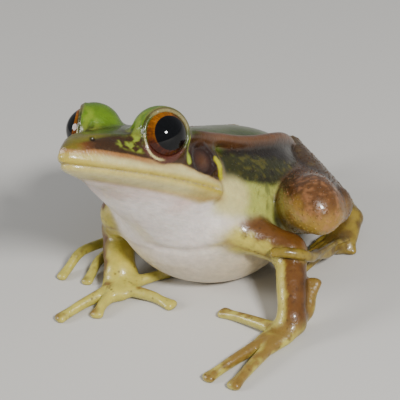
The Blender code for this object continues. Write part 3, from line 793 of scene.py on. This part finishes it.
def over(base, colour, mask):
    """Lays a colour over others where a mask is 1."""
    return base + (colour - base) * np.clip(mask, 0.0, 1.0)[:, None]


def flat(colour, points):
    return np.tile(colour, (len(points), 1))


def paint_trunk(colour, left, wobble):
    """White belly, pale spotted flank, then olive and dark bands up to the fold."""
    y, z = left[:, 1], left[:, 2]
    colour = over(colour, BELLY_CREAM, 0.85 * smooth(y, 22.0, 34.0))
    colour = over(colour, LIP_ORANGE, 0.10 * smooth(-z, 7.0, 11.0) * smooth(y, 18.0, 26.0))
    pink = smooth(hash_noise(left, 3.2, 81), 0.0, 0.8) + bell(z - mouth_level(y) + 2.6, 0.9)
    colour = over(colour, THROAT_PINK, 0.3 * pink * smooth(-y, -24.0, -18.0))
    behind = smooth(y, 22.6, 24.4)
    pale_edge = -3.0 - 0.16 * (y - 24.0) + wobble
    flank = smooth(z, pale_edge - 1.6, pale_edge + 1.2) * behind
    colour = over(colour, FLANK_PALE, flank)
    net = np.abs(hash_noise(left, 1.1, 31)) + 0.5 * np.abs(hash_noise(left, 0.55, 32))
    colour = over(colour, FLANK_OLIVE, 0.35 * flank * smooth(-net, -0.2, -0.02))
    # painted shade along the chest's crease, as a faint brown line
    colour = over(colour, ARM_BROWN, 0.3 * bell(path_distance(left, CHEST_CREASE), 0.35))
    spots = smooth(hash_noise(left, 1.5, 11), 0.38, 0.52) * flank * smooth(y, 25.0, 28.0)
    colour = over(colour, SPOT_GREY, 0.6 * spots)
    olive_edge = 0.7 + 0.11 * np.maximum(y - 26.0, 0.0) + 1.6 * wobble
    colour = over(colour, FLANK_OLIVE, smooth(z, olive_edge - 0.6, olive_edge + 0.5) * behind)
    blotch = smooth(hash_noise(left, 1.3, 41) + 0.5 * hash_noise(left, 0.6, 42), 0.25, 0.6)
    colour = over(colour, FLANK_DARK, 0.7 * blotch * smooth(z, olive_edge, olive_edge + 0.8) * behind)
    streak = smooth(hash_noise(left * np.array((1, 1, 0.5)), 1.0, 43), 0.3, 0.7)
    colour = over(colour, BAR_GREEN, 0.4 * streak * smooth(z, 0.8, 2.0) * smooth(-z, -6.4, -5.2)
                  * bell(y - 25.2, 2.4))
    grain = smooth(hash_noise(left, 0.7, 44) + 0.6 * hash_noise(left, 0.4, 45), 0.1, 0.7)
    colour = over(colour, SNOUT_OLIVE, 0.4 * grain * smooth(z, olive_edge, olive_edge + 0.8) * behind)
    dark_edge = 4.9 + 0.03 * (y - 26.0) + wobble
    return over(colour, FLANK_DARK, smooth(z, dark_edge - 0.6, dark_edge + 0.5) * behind)


def paint_lips(colour, left, wobble):
    """Cream lips with a yellow line along the mouth, painted shade in the mouth's groove and round its
    corner, and a painted shadow under the jaw's edge.
    """
    x, y, z = left.T
    level = mouth_level(y)
    head = 1.0 - smooth(y + 0.5 * wobble, 23.2, 25.6)
    tip = smooth(-y, -5.5, -1.5)
    lip_top = level_along(LIP_TOP, y) + 0.25 * wobble
    upper = head * smooth(z, level - 0.05, level + 0.1)
    colour = over(colour, LIP_CREAM, upper)
    colour = over(colour, LIP_YELLOW, upper * 0.85 * bell(z - level - 0.25, 0.5 + 0.3 * tip))
    colour = over(colour, LIP_ORANGE, upper * 0.85 * smooth(z, lip_top - 1.1, lip_top - 0.25)
                  * smooth(-y, -16.0, -9.0))
    colour = over(colour, LIP_ORANGE, upper * 0.45 * smooth(z, lip_top - 0.6, lip_top)
                  * smooth(y, 11.0, 15.0))
    colour = over(colour, LIP_YELLOW, upper * 0.7 * tip * smooth(-z, -lip_top, -lip_top + 0.9))
    shoulder = oval(left[:, 1:], SHOULDER_PATCH, SHOULDER_RADIUS)
    colour = over(colour, LIP_CREAM, 0.9 * smooth(-shoulder, -1.3, -0.6) * (x > 5))
    under = level - z
    lower = head * smooth(under, 0.0, 0.15)
    band = 1.45 + 0.024 * y - 0.9 * smooth(y, 20.6, 23.6)
    soft = 0.3 + 0.07 * np.maximum(y - 12.0, 0.0)
    colour = over(colour, LIP_CREAM, lower * smooth(-under, -band - soft, -band + 0.1))
    colour = over(colour, LIP_YELLOW, lower * (0.6 * bell(under - 0.3, 0.45) + 0.4 * smooth(y, 16.0, 21.0)
                                               * smooth(-under, -band - soft, -band)))
    # painted shadow under the jaw's edge, as a brown line
    colour = over(colour, JAW_SHADOW_BROWN, 0.55 * head * bell(under - band - 0.1, 0.2 + 0.012 * y)
                  * smooth(y, 3.0, 7.0))
    corner = oval(left[:, 1:], MOUTH_CORNER_SHADE, SHADE_SIZE)
    colour = over(colour, ARM_BROWN, 0.35 * bell(corner, 1.0) * (x > 6))
    # painted shade in the mouth's groove, as a darker olive line where the lips meet
    colour = over(colour, MOUTH_SHADE_OLIVE, head * 0.8 * bell(z - level, 0.13) * smooth(-y, -23.0, -22.0))
    # painted shade along the crease round the mouth's corner, as a brown line
    return over(colour, ARM_BROWN, 0.42 * bell(path_distance(left[:, 1:], RICTUS), 0.3) * (x > 6))


def paint_head_side(colour, left, wobble):
    """Dark stripe from the nostril to the shoulder, with the eardrum and its light marks."""
    x, y, z = left.T
    head = 1.0 - smooth(y + 0.5 * wobble, 23.0, 24.2)
    lip_top = level_along(LIP_TOP, y) + 0.25 * wobble
    stripe = head * smooth(z, lip_top - 0.12, lip_top + 0.16)
    colour = over(colour, STRIPE_BROWN, stripe)
    lore = oval(left, LORE_PATCH, LORE_SIZE)
    patchy = smooth(hash_noise(left, 0.6, 51) + 0.5 * hash_noise(left, 0.3, 52), -0.4, 0.4)
    colour = over(colour, LORE_GREEN, 0.9 * stripe * smooth(-lore - 0.5 * wobble, -1.1, -0.7) * patchy)
    colour = over(colour, LIP_ORANGE, 0.5 * stripe * smooth(-y, -4.2, -2.0))
    colour = over(colour, BAR_GREEN, head * smooth(-path_distance(left, EYE_BAR), -0.5, -0.2))
    behind = smooth(y + 0.5 * wobble, 22.2, 22.9) * smooth(z, 2.0, 3.0) * head
    colour = over(colour, FLANK_OLIVE, behind)
    colour = over(colour, BAR_GREEN, 0.8 * behind * smooth(hash_noise(left, 0.8, 53), 0.0, 0.5))
    around, _ = round_eardrum(left)
    side = (x > 6) * 1.0
    colour = over(colour, EARDRUM_DARK, side * smooth(-around, -3.0, -2.5)
                  * smooth(z, lip_top - 0.1, lip_top + 0.2) * smooth(y, 16.9, 17.5))
    drum = smooth(-around, -2.3, -2.0) * side
    colour = over(colour, EARDRUM_BROWN, drum * smooth(-around + 0.3 * wobble, -1.9, -0.7))
    colour = over(colour, KNEE_BROWN, 0.35 * drum * bell(around - 0.2, 0.5))
    return over(colour, GLAND_YELLOW, side * smooth(-path_distance(left, GLAND_STREAK), -0.75, -0.35))


def paint_top(colour, left, wobble):
    """Green crown and back between the copper folds, and the olive tip of the snout."""
    x, y, z = left.T
    edge = level_along(SNOUT_GREEN_EDGE, y)
    snout = smooth(z, edge - 0.25, edge + 0.2) * smooth(-y, -12.5, -10.8)
    route_out, route_back, route_up = np.transpose(FOLD_PATH)
    fold_height = np.interp(y, route_back, route_up)
    fold_out = np.interp(y, route_back, route_out)
    above = smooth(z + 0.3 * wobble, fold_height + 0.1, fold_height + 0.7)
    inside = smooth(-x, -fold_out - 0.2, -fold_out + 0.5) * smooth(z, 3.0, 4.5)
    back = np.maximum(above, inside) * smooth(y, 10.2, 11.4)
    green = CROWN_GREEN + (BACK_GREEN - CROWN_GREEN) * smooth(y, 19.0, 27.0)[:, None]
    clouds = smooth(hash_noise(left, 1.6, 61) + 0.4 * hash_noise(left, 0.7, 62), 0.1, 0.7)
    mottled = green * (1.0 - 0.3 * clouds)[:, None]
    mask = np.clip(np.maximum(snout, back), 0.0, 1.0)[:, None]
    colour = colour + (mottled - colour) * mask
    colour = over(colour, SNOUT_OLIVE, snout * smooth(-y, -8.5, -4.0))
    tip = smooth(-y, -3.0, -1.4) * smooth(z, 2.1, 2.6)
    colour = over(colour, SNOUT_OLIVE, 0.8 * tip)
    down = fold_height + 0.35 - z
    ridge = np.hypot(x - fold_out, np.where(down > 0, 0.62 * down, down))
    copper = smooth(-ridge + 0.25 * wobble, -1.25, -0.8) * smooth(y, 17.5, 20.5)
    colour = over(colour, FOLD_COPPER, copper)
    crest = np.hypot(x - fold_out - 0.3, z - fold_height - 0.3)
    colour = over(colour, FOLD_LIGHT, 0.8 * copper * bell(crest, 0.7) * smooth(y, 19.0, 24.0))
    # dark spot round the nostril, with painted shade in its pit
    return over(colour, FLANK_DARK, 0.8 * smooth(-oval(left, NOSTRIL), -0.55, -0.3))


def paint_lids(colour, left, q):
    """Green lids with beige edges, painted shade in the groove behind the rim, and a cream edge under the
    front of the eye.
    """
    v = left - EYE_CENTRE
    reach = np.linalg.norm(v, axis=1)
    away = v / reach[:, None]
    lid = smooth(-reach, -5.1, -4.6)
    angle = opening_angle(q, away) - LID_ANGLE
    upper = lid * smooth(away[:, 2], 0.0, 0.35)
    colour = over(colour, LID_GREEN, upper * smooth(angle, 5.0, 8.0) * smooth(-away[:, 1], -0.75, 0.0))
    colour = over(colour, CROWN_GREEN, upper * smooth(away[:, 1], 0.1, 0.8) * smooth(angle, 5.0, 8.0))
    front = lid * 0.4 * smooth(-away[:, 1], 0.55, 0.8) * smooth(away[:, 2], -0.35, 0.0)
    colour = over(colour, BAR_GREEN,
                  front * smooth(angle, 8.0, 14.0) * smooth(hash_noise(left, 0.7, 71), -0.3, 0.2))
    rim = lid * smooth(-angle, -8.0, -6.0)
    high = smooth(away[:, 2] + 0.25 * away[:, 1], 0.25, 0.55)[:, None]
    low = smooth(-away[:, 2], 0.2, 0.5)[:, None]
    edge = CROWN_GREEN * (1.0 - low) + LID_RED * low
    under = lid * smooth(-away[:, 2], 0.15, 0.4) * smooth(-angle, -16.0, -11.0) * smooth(left[:, 2], 2.0, 2.4)
    colour = over(colour, STRIPE_BROWN, 0.9 * under)
    colour = colour + (edge * (1.0 - high) + LID_BEIGE * high - colour) * rim[:, None]
    groove = lid * bell(angle - 5.2, 1.4) * smooth(away[:, 2], -0.2, 0.2)
    colour = over(colour, LID_BEIGE, 0.6 * lid * bell(angle - 9.0, 1.8) * smooth(away[:, 2], 0.35, 0.6))
    # painted shade in the groove between the lid's rim and its fold
    colour = over(colour, MARK_AND_SHADE_BROWN, 0.8 * groove)
    light = lid * smooth(-angle, -3.4, -2.4) * smooth(angle, 0.6, 1.6) * smooth(reach, 3.8, 3.9)
    light = light * smooth(-away[:, 1], 0.25, 0.5) * smooth(-away[:, 2], -0.1, 0.15)
    return over(colour, LIP_CREAM, light)


def paint_body(q):
    """Colours of head and trunk from body-frame places."""
    left = mirrored(q)
    wobble = 0.35 * hash_noise(q, 2.6, 3) + 0.2 * hash_noise(q, 1.0, 5)
    colour = flat(THROAT_WHITE, q)
    for paint in (paint_trunk, paint_lips, paint_head_side, paint_top):
        colour = paint(colour, left, wobble)
    return paint_lids(colour, left, q)


def paint_arm(p, out, front, up, wobble):
    """Yellow inside, orange brown along the back and the outer side."""
    upper = over(flat(ARM_YELLOW, p), ARM_BROWN, smooth(0.9 * up - 0.35 * front + 0.4 * wobble, 0.0, 0.4))
    upper = over(upper, ARM_BROWN, 0.55 * bell(0.9 * up - 0.35 * front + 0.5 + 0.2 * wobble, 0.1))
    fore = over(flat(ARM_YELLOW, p), ARM_BROWN, smooth(0.9 * out - 0.2 * front + 0.25 * wobble, -0.35, 0.0))
    fore = over(fore, MARK_AND_SHADE_BROWN, 0.55 * smooth(out + 0.4 * wobble, 0.75, 1.1))
    net = smooth(-np.abs(hash_noise(p, 1.0, 91)) - 0.4 * np.abs(hash_noise(p, 0.5, 92)), -0.3, -0.05)
    brown = smooth(0.9 * out - 0.2 * front + 0.25 * wobble, -0.2, 0.1)
    fore = over(fore, MARK_AND_SHADE_BROWN, 0.4 * net * brown)
    upper = over(upper, MARK_AND_SHADE_BROWN, 0.22 * net)
    return upper, fore


def paint_hand(p, out, up, wobble):
    """Yellow fingers, browner on the outer ones and over the wrist."""
    brown = smooth(0.5 * up + 0.4 * out + wobble, 0.35, 0.9)
    return over(flat(HAND_YELLOW, p), TIP_BROWN, 0.85 * brown)


def paint_thigh(p, out, front, up, wobble, knee):
    """Brown above, gold below, with a pinkish granular knee."""
    colour = over(flat(THIGH_GOLD, p), THIGH_BROWN, smooth(up - 0.15 * front + 0.35 * wobble, 0.15, 0.75))
    colour = over(colour, KNEE_BROWN, 0.75 * knee * smooth(up + 0.6 * out + 0.5 * wobble, 0.2, 0.9))
    grains = smooth(hash_noise(p, 0.55, 93) + 0.6 * hash_noise(p, 0.3, 94), 0.1, 0.6)
    colour = over(colour, KNEE_PINK, (0.12 + 0.4 * knee) * grains)
    inner = smooth(0.8 * front - 0.7 * up - 0.6 * out + 0.3 * wobble, 0.45, 1.0)
    return over(colour, FLANK_PALE, 0.6 * (1.0 - 0.7 * knee) * inner)


def paint_shank(p, out, front, up, wobble):
    """Olive brown, mottled lighter towards the body, with painted shade along its underside."""
    light = smooth(-0.7 * out + 0.5 * front + 0.8 * wobble, 0.1, 0.8)
    colour = over(flat(SHANK_BROWN, p), SHANK_LIGHT, 0.9 * light)
    # painted shade on the underside, where the shank lies against the thigh
    return over(colour, MARK_AND_SHADE_BROWN, 0.5 * smooth(-up + 0.2 * wobble, -0.1, 0.5))


# Where the left and right limbs' colours differ in the photo

KNEE_BACK = {"left": 28.0, "right": 32.0}      # the pinkish knee fades out over 5 mm behind this
ARM_SHIFT = {"left": 0.0, "right": -0.4}       # below 0 leaves more of the arm yellow
HAND_SHIFT = {"left": 0.7, "right": 0.0}       # above 0 makes more of the hand brown
FOOT_SHIFT = {"left": 0.0, "right": -0.3}
FOOT_BASE = {"left": FOOT_OLIVE, "right": HAND_YELLOW}


def limb_regions(p, n, parts):
    """Distance and colour of every limb region."""
    wobble = 0.5 * hash_noise(p, 1.8, 21) + 0.35 * hash_noise(p, 0.7, 22)
    up, front = n[:, 2], -n[:, 1]
    regions = []
    for side, sign in (("left", 1.0), ("right", -1.0)):
        out = sign * n[:, 0]
        upper, fore = paint_arm(p, out + ARM_SHIFT[side], front, up, wobble)
        knee = smooth(-p[:, 1], -KNEE_BACK[side] - 5.0, -KNEE_BACK[side])
        foot = over(flat(FOOT_BASE[side], p), SHANK_BROWN,
                    0.75 * smooth(wobble + 0.25 * up + FOOT_SHIFT[side], 0.0, 0.5))
        hand = np.minimum(parts["palm_" + side], parts["fingers_" + side])
        low = np.minimum(np.minimum(parts["tarsus_" + side], parts["sole_" + side]),
                         np.minimum(parts["toes_" + side], parts["webs_" + side]))
        thigh = np.minimum(parts["thigh_" + side], parts["knee_" + side] + 0.2)
        regions += [
            (parts["upper_arm_" + side], upper),
            (parts["forearm_" + side], fore),
            (hand, paint_hand(p, out + HAND_SHIFT[side], up, wobble)),
            (thigh, paint_thigh(p, out, front, up, wobble, knee)),
            (parts["shank_" + side], paint_shank(p, out, front, up, wobble)),
            (low, foot),
        ]
    return regions


def paint_skin(mesh):
    """Stores the skin's colours, and how granular it is and how far out on a limb, at its points."""
    count = len(mesh.vertices)
    p = np.empty(count * 3)
    mesh.vertices.foreach_get("co", p)
    p = p.reshape(-1, 3)
    n = np.array([v.normal[:] for v in mesh.vertices])
    parts = skin_parts(p)
    regions = limb_regions(p, n, parts) + [(parts["body"], paint_body(to_body(p)))]
    nearest = np.min([distance for distance, _ in regions], axis=0)
    weights = [np.exp(-(distance - nearest) / 0.25) for distance, _ in regions]
    total = sum(colour * weight[:, None] for (_, colour), weight in zip(regions, weights))
    colour = total / sum(weights)[:, None]
    for side in ("left", "right"):
        thigh, shank = parts["thigh_" + side], parts["shank_" + side]
        # painted shade in the crease where thigh and shank meet
        thigh_crease_shade = bell(thigh - shank, 0.35) * smooth(-thigh, -1.0, -0.4) * smooth(p[:, 1], 27.0, 29.5)
        colour = over(colour, MARK_AND_SHADE_BROWN, 0.85 * thigh_crease_shade)
    store_colour(mesh, "skin_colour", colour)
    q = to_body(p)
    behind = smooth(q[:, 1], 25.0, 28.0) * smooth(q[:, 2], -2.0, 1.5) * smooth(-q[:, 2], -6.5, -5.5)
    legs = np.maximum(*[np.exp(-(np.minimum(parts["thigh_" + s], parts["shank_" + s]) - nearest) / 0.3)
                        for s in ("left", "right")])
    store_value(mesh, "granular", np.clip(0.75 * behind + legs, 0.0, 1.0) * smooth(p[:, 2], 0.6, 1.6))
    store_value(mesh, "limb", 1.0 - np.exp(-(parts["body"] - nearest) / 0.3))


def store_colour(mesh, name, colour):
    layer = mesh.color_attributes.new(name, "FLOAT_COLOR", "POINT")
    layer.data.foreach_set("color", np.column_stack((colour, np.ones(len(colour)))).ravel())


def store_value(mesh, name, values):
    layer = mesh.attributes.new(name, "FLOAT", "POINT")
    layer.data.foreach_set("value", values)


def set_inputs(node, values):
    for key, value in dict(values).items():
        node.inputs[key].default_value = value


def add_node(tree, kind, settings=(), values=(), links=()):
    """A node with settings, socket values and links given as (socket, node, output)."""
    node = tree.nodes.new(kind)
    for key, value in dict(settings).items():
        setattr(node, key, value)
    set_inputs(node, values)
    for socket, source, output in links:
        tree.links.new(source.outputs[output], node.inputs[socket])
    return node


def new_material(name):
    material = bpy.data.materials.new(name)
    material.use_nodes = True
    return material, material.node_tree, material.node_tree.nodes["Principled BSDF"]


def noise(tree, place, cells, detail, roughness=0.5):
    """Cloudy pattern with a number of cells to a millimetre."""
    return add_node(tree, "ShaderNodeTexNoise", links=[("Vector", place, "Object")],
                    values={"Scale": cells / MM, "Detail": detail, "Roughness": roughness})


def dots(tree, place, cells):
    """Pattern of points, with a number of cells to a millimetre."""
    return add_node(tree, "ShaderNodeTexVoronoi", links=[("Vector", place, "Object")],
                    values={"Scale": cells / MM})


def ranged(tree, source, output, ends, results=(0.0, 1.0)):
    """Maps what a node puts out between two ends to two results."""
    values = dict(zip(("From Min", "From Max", "To Min", "To Max"), ends + results))
    return add_node(tree, "ShaderNodeMapRange", values=values, links=[("Value", source, output)])


def product(tree, a, output_a, b, output_b):
    return add_node(tree, "ShaderNodeMath", {"operation": "MULTIPLY"},
                    links=[(0, a, output_a), (1, b, output_b)])


def toned(tree, colour, shade):
    """A stored colour made lighter and darker by a shade."""
    return add_node(tree, "ShaderNodeVectorMath", {"operation": "SCALE"},
                    links=[("Vector", colour, "Color"), ("Scale", shade, "Result")])


def specked(tree, base, base_output, mask, mask_output):
    """Lays brown pigment over a colour where a mask is 1."""
    node = add_node(tree, "ShaderNodeMix", {"data_type": "RGBA"},
                    links=[(6, base, base_output), (0, mask, mask_output)])
    node.inputs[7].default_value = (*SPECK_BROWN, 1.0)
    return node


def wet_frog_skin():
    """Moist frog skin: soft light through its thin outer layer, and broken glints from its slime."""
    material, tree, surface = new_material("wet_frog_skin")
    place = add_node(tree, "ShaderNodeTexCoord")
    colour = add_node(tree, "ShaderNodeAttribute", {"attribute_name": "skin_colour"})
    limb = add_node(tree, "ShaderNodeAttribute", {"attribute_name": "limb"})
    # mottling about 1 mm across
    mottle = noise(tree, place, 0.9, 3.0, 0.6)
    ground = toned(tree, colour, ranged(tree, mottle, "Fac", (0.3, 0.7), (0.88, 1.1)))
    # pigment spots about 0.2 mm across, in patches 2 mm across on the limbs
    spots = dots(tree, place, 1.5)
    patch = noise(tree, place, 0.5, 2.0)
    fleck = ranged(tree, spots, "Distance", (0.15, 0.4), (0.6, 0.0))
    chosen = ranged(tree, patch, "Fac", (0.5, 0.66))
    mask = product(tree, product(tree, fleck, "Result", chosen, "Result"), "Value", limb, "Fac")
    speckled = specked(tree, ground, "Vector", mask, "Value")
    # lone dark specks 0.3 mm across, one in every 5 mm
    lone = dots(tree, place, 0.19)
    speck = ranged(tree, lone, "Distance", (0.022, 0.04), (0.7, 0.0))
    marked = specked(tree, speckled, 2, speck, "Result")
    tree.links.new(marked.outputs[2], surface.inputs["Base Color"])
    # fine grain 0.4 mm across over slight unevenness 1.4 mm across, which break up the wet shine
    grain = noise(tree, place, 2.6, 3.0, 0.55)
    fine = add_node(tree, "ShaderNodeBump", values={"Strength": 0.5, "Distance": 0.15 * MM},
                    links=[("Height", grain, "Fac")])
    wide = noise(tree, place, 0.7, 2.0)
    bump = add_node(tree, "ShaderNodeBump", values={"Strength": 0.35, "Distance": 0.3 * MM},
                    links=[("Height", wide, "Fac"), ("Normal", fine, "Normal")])
    tree.links.new(bump.outputs["Normal"], surface.inputs["Normal"])
    set_inputs(surface, {
        "Roughness": 0.34,
        "IOR": 1.4,
        "Subsurface Weight": 0.12,
        "Subsurface Radius": (1.0, 0.45, 0.25),
        "Subsurface Scale": 0.8 * MM,
        "Coat Weight": 0.35,
        "Coat Roughness": 0.12,
    })
    return material


def wet_eye():
    """A frog's eye under its cornea: mirror-smooth and wet, so it shows sharp glints of the lamps."""
    material, tree, surface = new_material("wet_eye")
    place = add_node(tree, "ShaderNodeTexCoord")
    colour = add_node(tree, "ShaderNodeAttribute", {"attribute_name": "eye_colour"})
    # flecks 0.3 mm across in the iris
    veins = noise(tree, place, 3.0, 3.0)
    flecked = toned(tree, colour, ranged(tree, veins, "Fac", (0.3, 0.7), (0.7, 1.25)))
    tree.links.new(flecked.outputs["Vector"], surface.inputs["Base Color"])
    set_inputs(surface, {"Roughness": 0.05, "IOR": 1.376})
    return material


PUPIL_BLACK = linear("#07080a")
IRIS_GOLD = linear("#94580c")
IRIS_ORANGE = linear("#5f3005")
IRIS_RED = linear("#3c180c")
IRIS_BACK = linear("#1c0e08")


def mixed(a, b, share):
    return a + (b - a) * share


def step_up(value, low, high):
    t = min(max((value - low) / (high - low), 0.0), 1.0)
    return t * t * (3.0 - 2.0 * t)


def eye_colour(angle, forward, above):
    """Colour at an angle from the gaze, towards the front or above."""
    ring = mixed(IRIS_BACK, IRIS_RED, step_up(forward - 0.6 * above, -0.5, 0.5))
    ring = mixed(ring, IRIS_ORANGE, step_up(forward + 0.9 * above, 0.2, 0.9))
    ring = mixed(ring, IRIS_GOLD, 0.6 * step_up(0.7 * forward + above, 0.7, 1.1))
    ring = mixed(ring, IRIS_GOLD, 0.5 * math.exp(-((angle - PUPIL_ANGLE - 2.2) / 1.2) ** 2)
                 * step_up(forward + above, -0.4, 0.6))
    # darker towards the iris's edge: a dark limbus, and painted shadow of the lids' edge over it
    ring = mixed(ring, PUPIL_BLACK, 0.7 * step_up(angle, IRIS_ANGLE - 5.0, IRIS_ANGLE + 2.0))
    return mixed(ring, PUPIL_BLACK, 1.0 - step_up(angle, PUPIL_ANGLE - 0.5, PUPIL_ANGLE + 1.0))


def gaze_frame(word, sign):
    turn, rise = math.radians(GAZE[word]), math.radians(GAZE_RISE)
    level = np.array((sign * math.sin(turn), -math.cos(turn), 0.0))
    gaze = level * math.cos(rise) + np.array((0.0, 0.0, math.sin(rise)))
    across = unit(np.cross((0.0, 0.0, 1.0), gaze))
    if across[1] > 0:
        across = -across
    return gaze, across, unit(np.array((0.0, 0.0, 1.0)) - gaze * gaze[2])


def make_eye(word, sign):
    """Eyeball with a low cornea, coloured in rings round its gaze."""
    gaze, forward, above = gaze_frame(word, sign)
    centre = EYE_CENTRE * np.array((sign, 1.0, 1.0))
    rings, spokes = 90, 128
    points, colours, faces = [], [], []
    for i in range(rings + 1):
        angle = math.pi * i / rings
        degrees = math.degrees(angle)
        radius = EYE_RADIUS + CORNEA_RISE * math.exp(-(degrees / CORNEA_SPREAD) ** 2)
        for j in range(1 if i in (0, rings) else spokes):
            turn = 2 * math.pi * j / spokes
            c, s = math.cos(turn), math.sin(turn)
            out = gaze * math.cos(angle) + (forward * c + above * s) * math.sin(angle)
            points.append(centre + radius * out)
            streak = 1.0 + 0.22 * math.sin(31 * turn + 2.6 * math.sin(9 * turn))
            colours.append(eye_colour(degrees, c, s) * streak)
    last = len(points) - 1
    for j in range(spokes):
        k = (j + 1) % spokes
        faces.append((0, 1 + j, 1 + k))
        faces.append((last, last - spokes + k, last - spokes + j))
        for i in range(rings - 2):
            base = 1 + i * spokes
            faces.append((base + j, base + spokes + j, base + spokes + k, base + k))
    mesh = bpy.data.meshes.new("eyeball_" + word)
    mesh.from_pydata([tuple(p) for p in to_floor(points)], [], faces)
    bm = bmesh.new()
    bm.from_mesh(mesh)
    bmesh.ops.recalc_face_normals(bm, faces=bm.faces)
    bm.to_mesh(mesh)
    bm.free()
    mesh.shade_smooth()
    store_colour(mesh, "eye_colour", np.array(colours))
    return mesh


# Pieces

eye_low, eye_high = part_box("eye_left")
eye_packed = 0.5 * (np.array(eye_low) + np.array(eye_high))
SHIFT = eye_packed - MM * to_floor([EYE_CENTRE])[0]
cad_box_floor = (np.array(cad_low) - SHIFT) / MM, (np.array(cad_high) - SHIFT) / MM


def add_object(name, data):
    item = bpy.data.objects.new(name, data)
    bpy.context.scene.collection.objects.link(item)
    return item


def place_piece(name, mesh, material):
    mesh.transform(Matrix.Translation(Vector(SHIFT)) @ Matrix.Scale(MM, 4))
    mesh.materials.clear()
    mesh.materials.append(material)
    return add_object(name, mesh)


def granule_tree(material):
    """Low rounded granules scattered over a skin by its granular value, tinted like the skin under them."""
    tree = bpy.data.node_groups.new("skin_granules", "GeometryNodeTree")
    for name, way, kind in (("Skin", "INPUT", "Geometry"), ("Width", "INPUT", "Float"),
                            ("Spacing", "INPUT", "Float"), ("Granules", "OUTPUT", "Geometry")):
        tree.interface.new_socket(name, in_out=way, socket_type="NodeSocket" + kind)
    start = add_node(tree, "NodeGroupInput")
    weight = add_node(tree, "GeometryNodeInputNamedAttribute", {"data_type": "FLOAT"}, {"Name": "granular"})
    spread = add_node(tree, "GeometryNodeDistributePointsOnFaces", {"distribute_method": "POISSON"},
                      {"Density Max": GRANULE_DENSITY, "Seed": 7},
                      [("Mesh", start, "Skin"), ("Distance Min", start, "Spacing"),
                       ("Density Factor", weight, "Attribute")])
    ball = add_node(tree, "GeometryNodeMeshIcoSphere", values={"Subdivisions": 1},
                    links=[("Radius", start, "Width")])
    low = add_node(tree, "GeometryNodeTransform", values={"Scale": (0.5, 0.5, 0.22)},
                   links=[("Geometry", ball, "Mesh")])
    size = add_node(tree, "FunctionNodeRandomValue", {"data_type": "FLOAT"},
                    {"Min": 0.6, "Max": 1.15, "Seed": 3})
    put = add_node(tree, "GeometryNodeInstanceOnPoints",
                   links=[("Points", spread, "Points"), ("Instance", low, "Geometry"),
                          ("Rotation", spread, "Rotation"), ("Scale", size, 1)])
    real = add_node(tree, "GeometryNodeRealizeInstances", links=[("Geometry", put, "Instances")])
    rounded = add_node(tree, "GeometryNodeSetShadeSmooth", links=[("Geometry", real, "Geometry")])
    finish = add_node(tree, "GeometryNodeSetMaterial", values={"Material": material},
                      links=[("Geometry", rounded, "Geometry")])
    end = add_node(tree, "NodeGroupOutput")
    tree.links.new(finish.outputs["Geometry"], end.inputs["Granules"])
    return tree


def place_granules(skin):
    """Runs the granule tree on the skin and keeps its result as a plain mesh."""
    tree = granule_tree(skin.data.materials[0])
    carrier = add_object("granule_carrier", skin.data.copy())
    scatter = carrier.modifiers.new("granules", "NODES")
    scatter.node_group = tree
    sizes = {"Width": GRANULE_WIDTH * MM, "Spacing": GRANULE_SPACING * MM}
    for item in tree.interface.items_tree:
        if item.in_out == "INPUT" and item.name in sizes:
            scatter[item.identifier] = sizes[item.name]
    result = carrier.evaluated_get(bpy.context.evaluated_depsgraph_get())
    mesh = bpy.data.meshes.new_from_object(result)
    mesh.name = "skin_granules"
    bpy.data.objects.remove(carrier)
    return add_object("skin_granules", mesh)


skin_mesh = make_skin()
paint_skin(skin_mesh)
skin = place_piece("frog_skin", skin_mesh, wet_frog_skin())
flesh = [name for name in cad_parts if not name.startswith("eye_")]
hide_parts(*flesh)
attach(skin, "root")

granules = place_granules(skin)
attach(granules, "root")

eye_finish = wet_eye()
for word, sign in (("left", 1.0), ("right", -1.0)):
    eye = place_piece("eyeball_" + word, make_eye(word, sign), eye_finish)
    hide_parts("eye_" + word)
    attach(eye, "root")


# Floor, light and camera

def floor_sheet():
    bm = bmesh.new()
    bmesh.ops.create_grid(bm, x_segments=1, y_segments=1, size=1.2)
    mesh = bpy.data.meshes.new("floor")
    bm.to_mesh(mesh)
    bm.free()
    sheet = add_object("floor", mesh)
    material, _, surface = new_material("matt_pale_board")
    set_inputs(surface, {"Base Color": (*linear("#c9c6c0"), 1.0), "Roughness": 0.85})
    mesh.materials.append(material)


LAMP_TARGET = (0.0, 0.0, 0.015)


def soft_lamp(name, place, size, power):
    light = bpy.data.lights.new(name, "AREA")
    light.shape = "DISK"
    light.size = size
    light.energy = power
    lamp = add_object(name, light)
    lamp.location = place
    lamp.rotation_euler = (Vector(place) - Vector(LAMP_TARGET)).to_track_quat("Z", "Y").to_euler()


CAMERA_PLACE = Vector((145.716, -162.243, 140.430))
CAMERA_TARGET = Vector((6.931, 19.570, 16.809))
CAMERA_ROLL = -11.07
CAMERA_LENS = 166.14


def photo_camera():
    camera = bpy.data.cameras.new("camera")
    camera.lens = CAMERA_LENS
    camera.sensor_width = 36.0
    camera.clip_start = 0.01
    holder = add_object("camera", camera)
    place = Vector(SHIFT) + CAMERA_PLACE * MM
    target = Vector(SHIFT) + CAMERA_TARGET * MM
    level = (place - target).to_track_quat("Z", "Y").to_matrix()
    turn = level @ Matrix.Rotation(math.radians(CAMERA_ROLL), 3, "Z")
    holder.matrix_world = Matrix.Translation(place) @ turn.to_4x4()
    bpy.context.scene.camera = holder


def sky():
    world = bpy.data.worlds.new("soft_sky")
    world.use_nodes = True
    set_inputs(world.node_tree.nodes["Background"], {"Color": (*linear("#dfe3e8"), 1.0), "Strength": 0.38})
    bpy.context.scene.world = world


floor_sheet()
soft_lamp("key", (0.335, -0.19, 0.275), size=0.08, power=2.8)
soft_lamp("fill", (-0.4, -0.24, 0.22), size=0.2, power=1.5)
sky()
photo_camera()
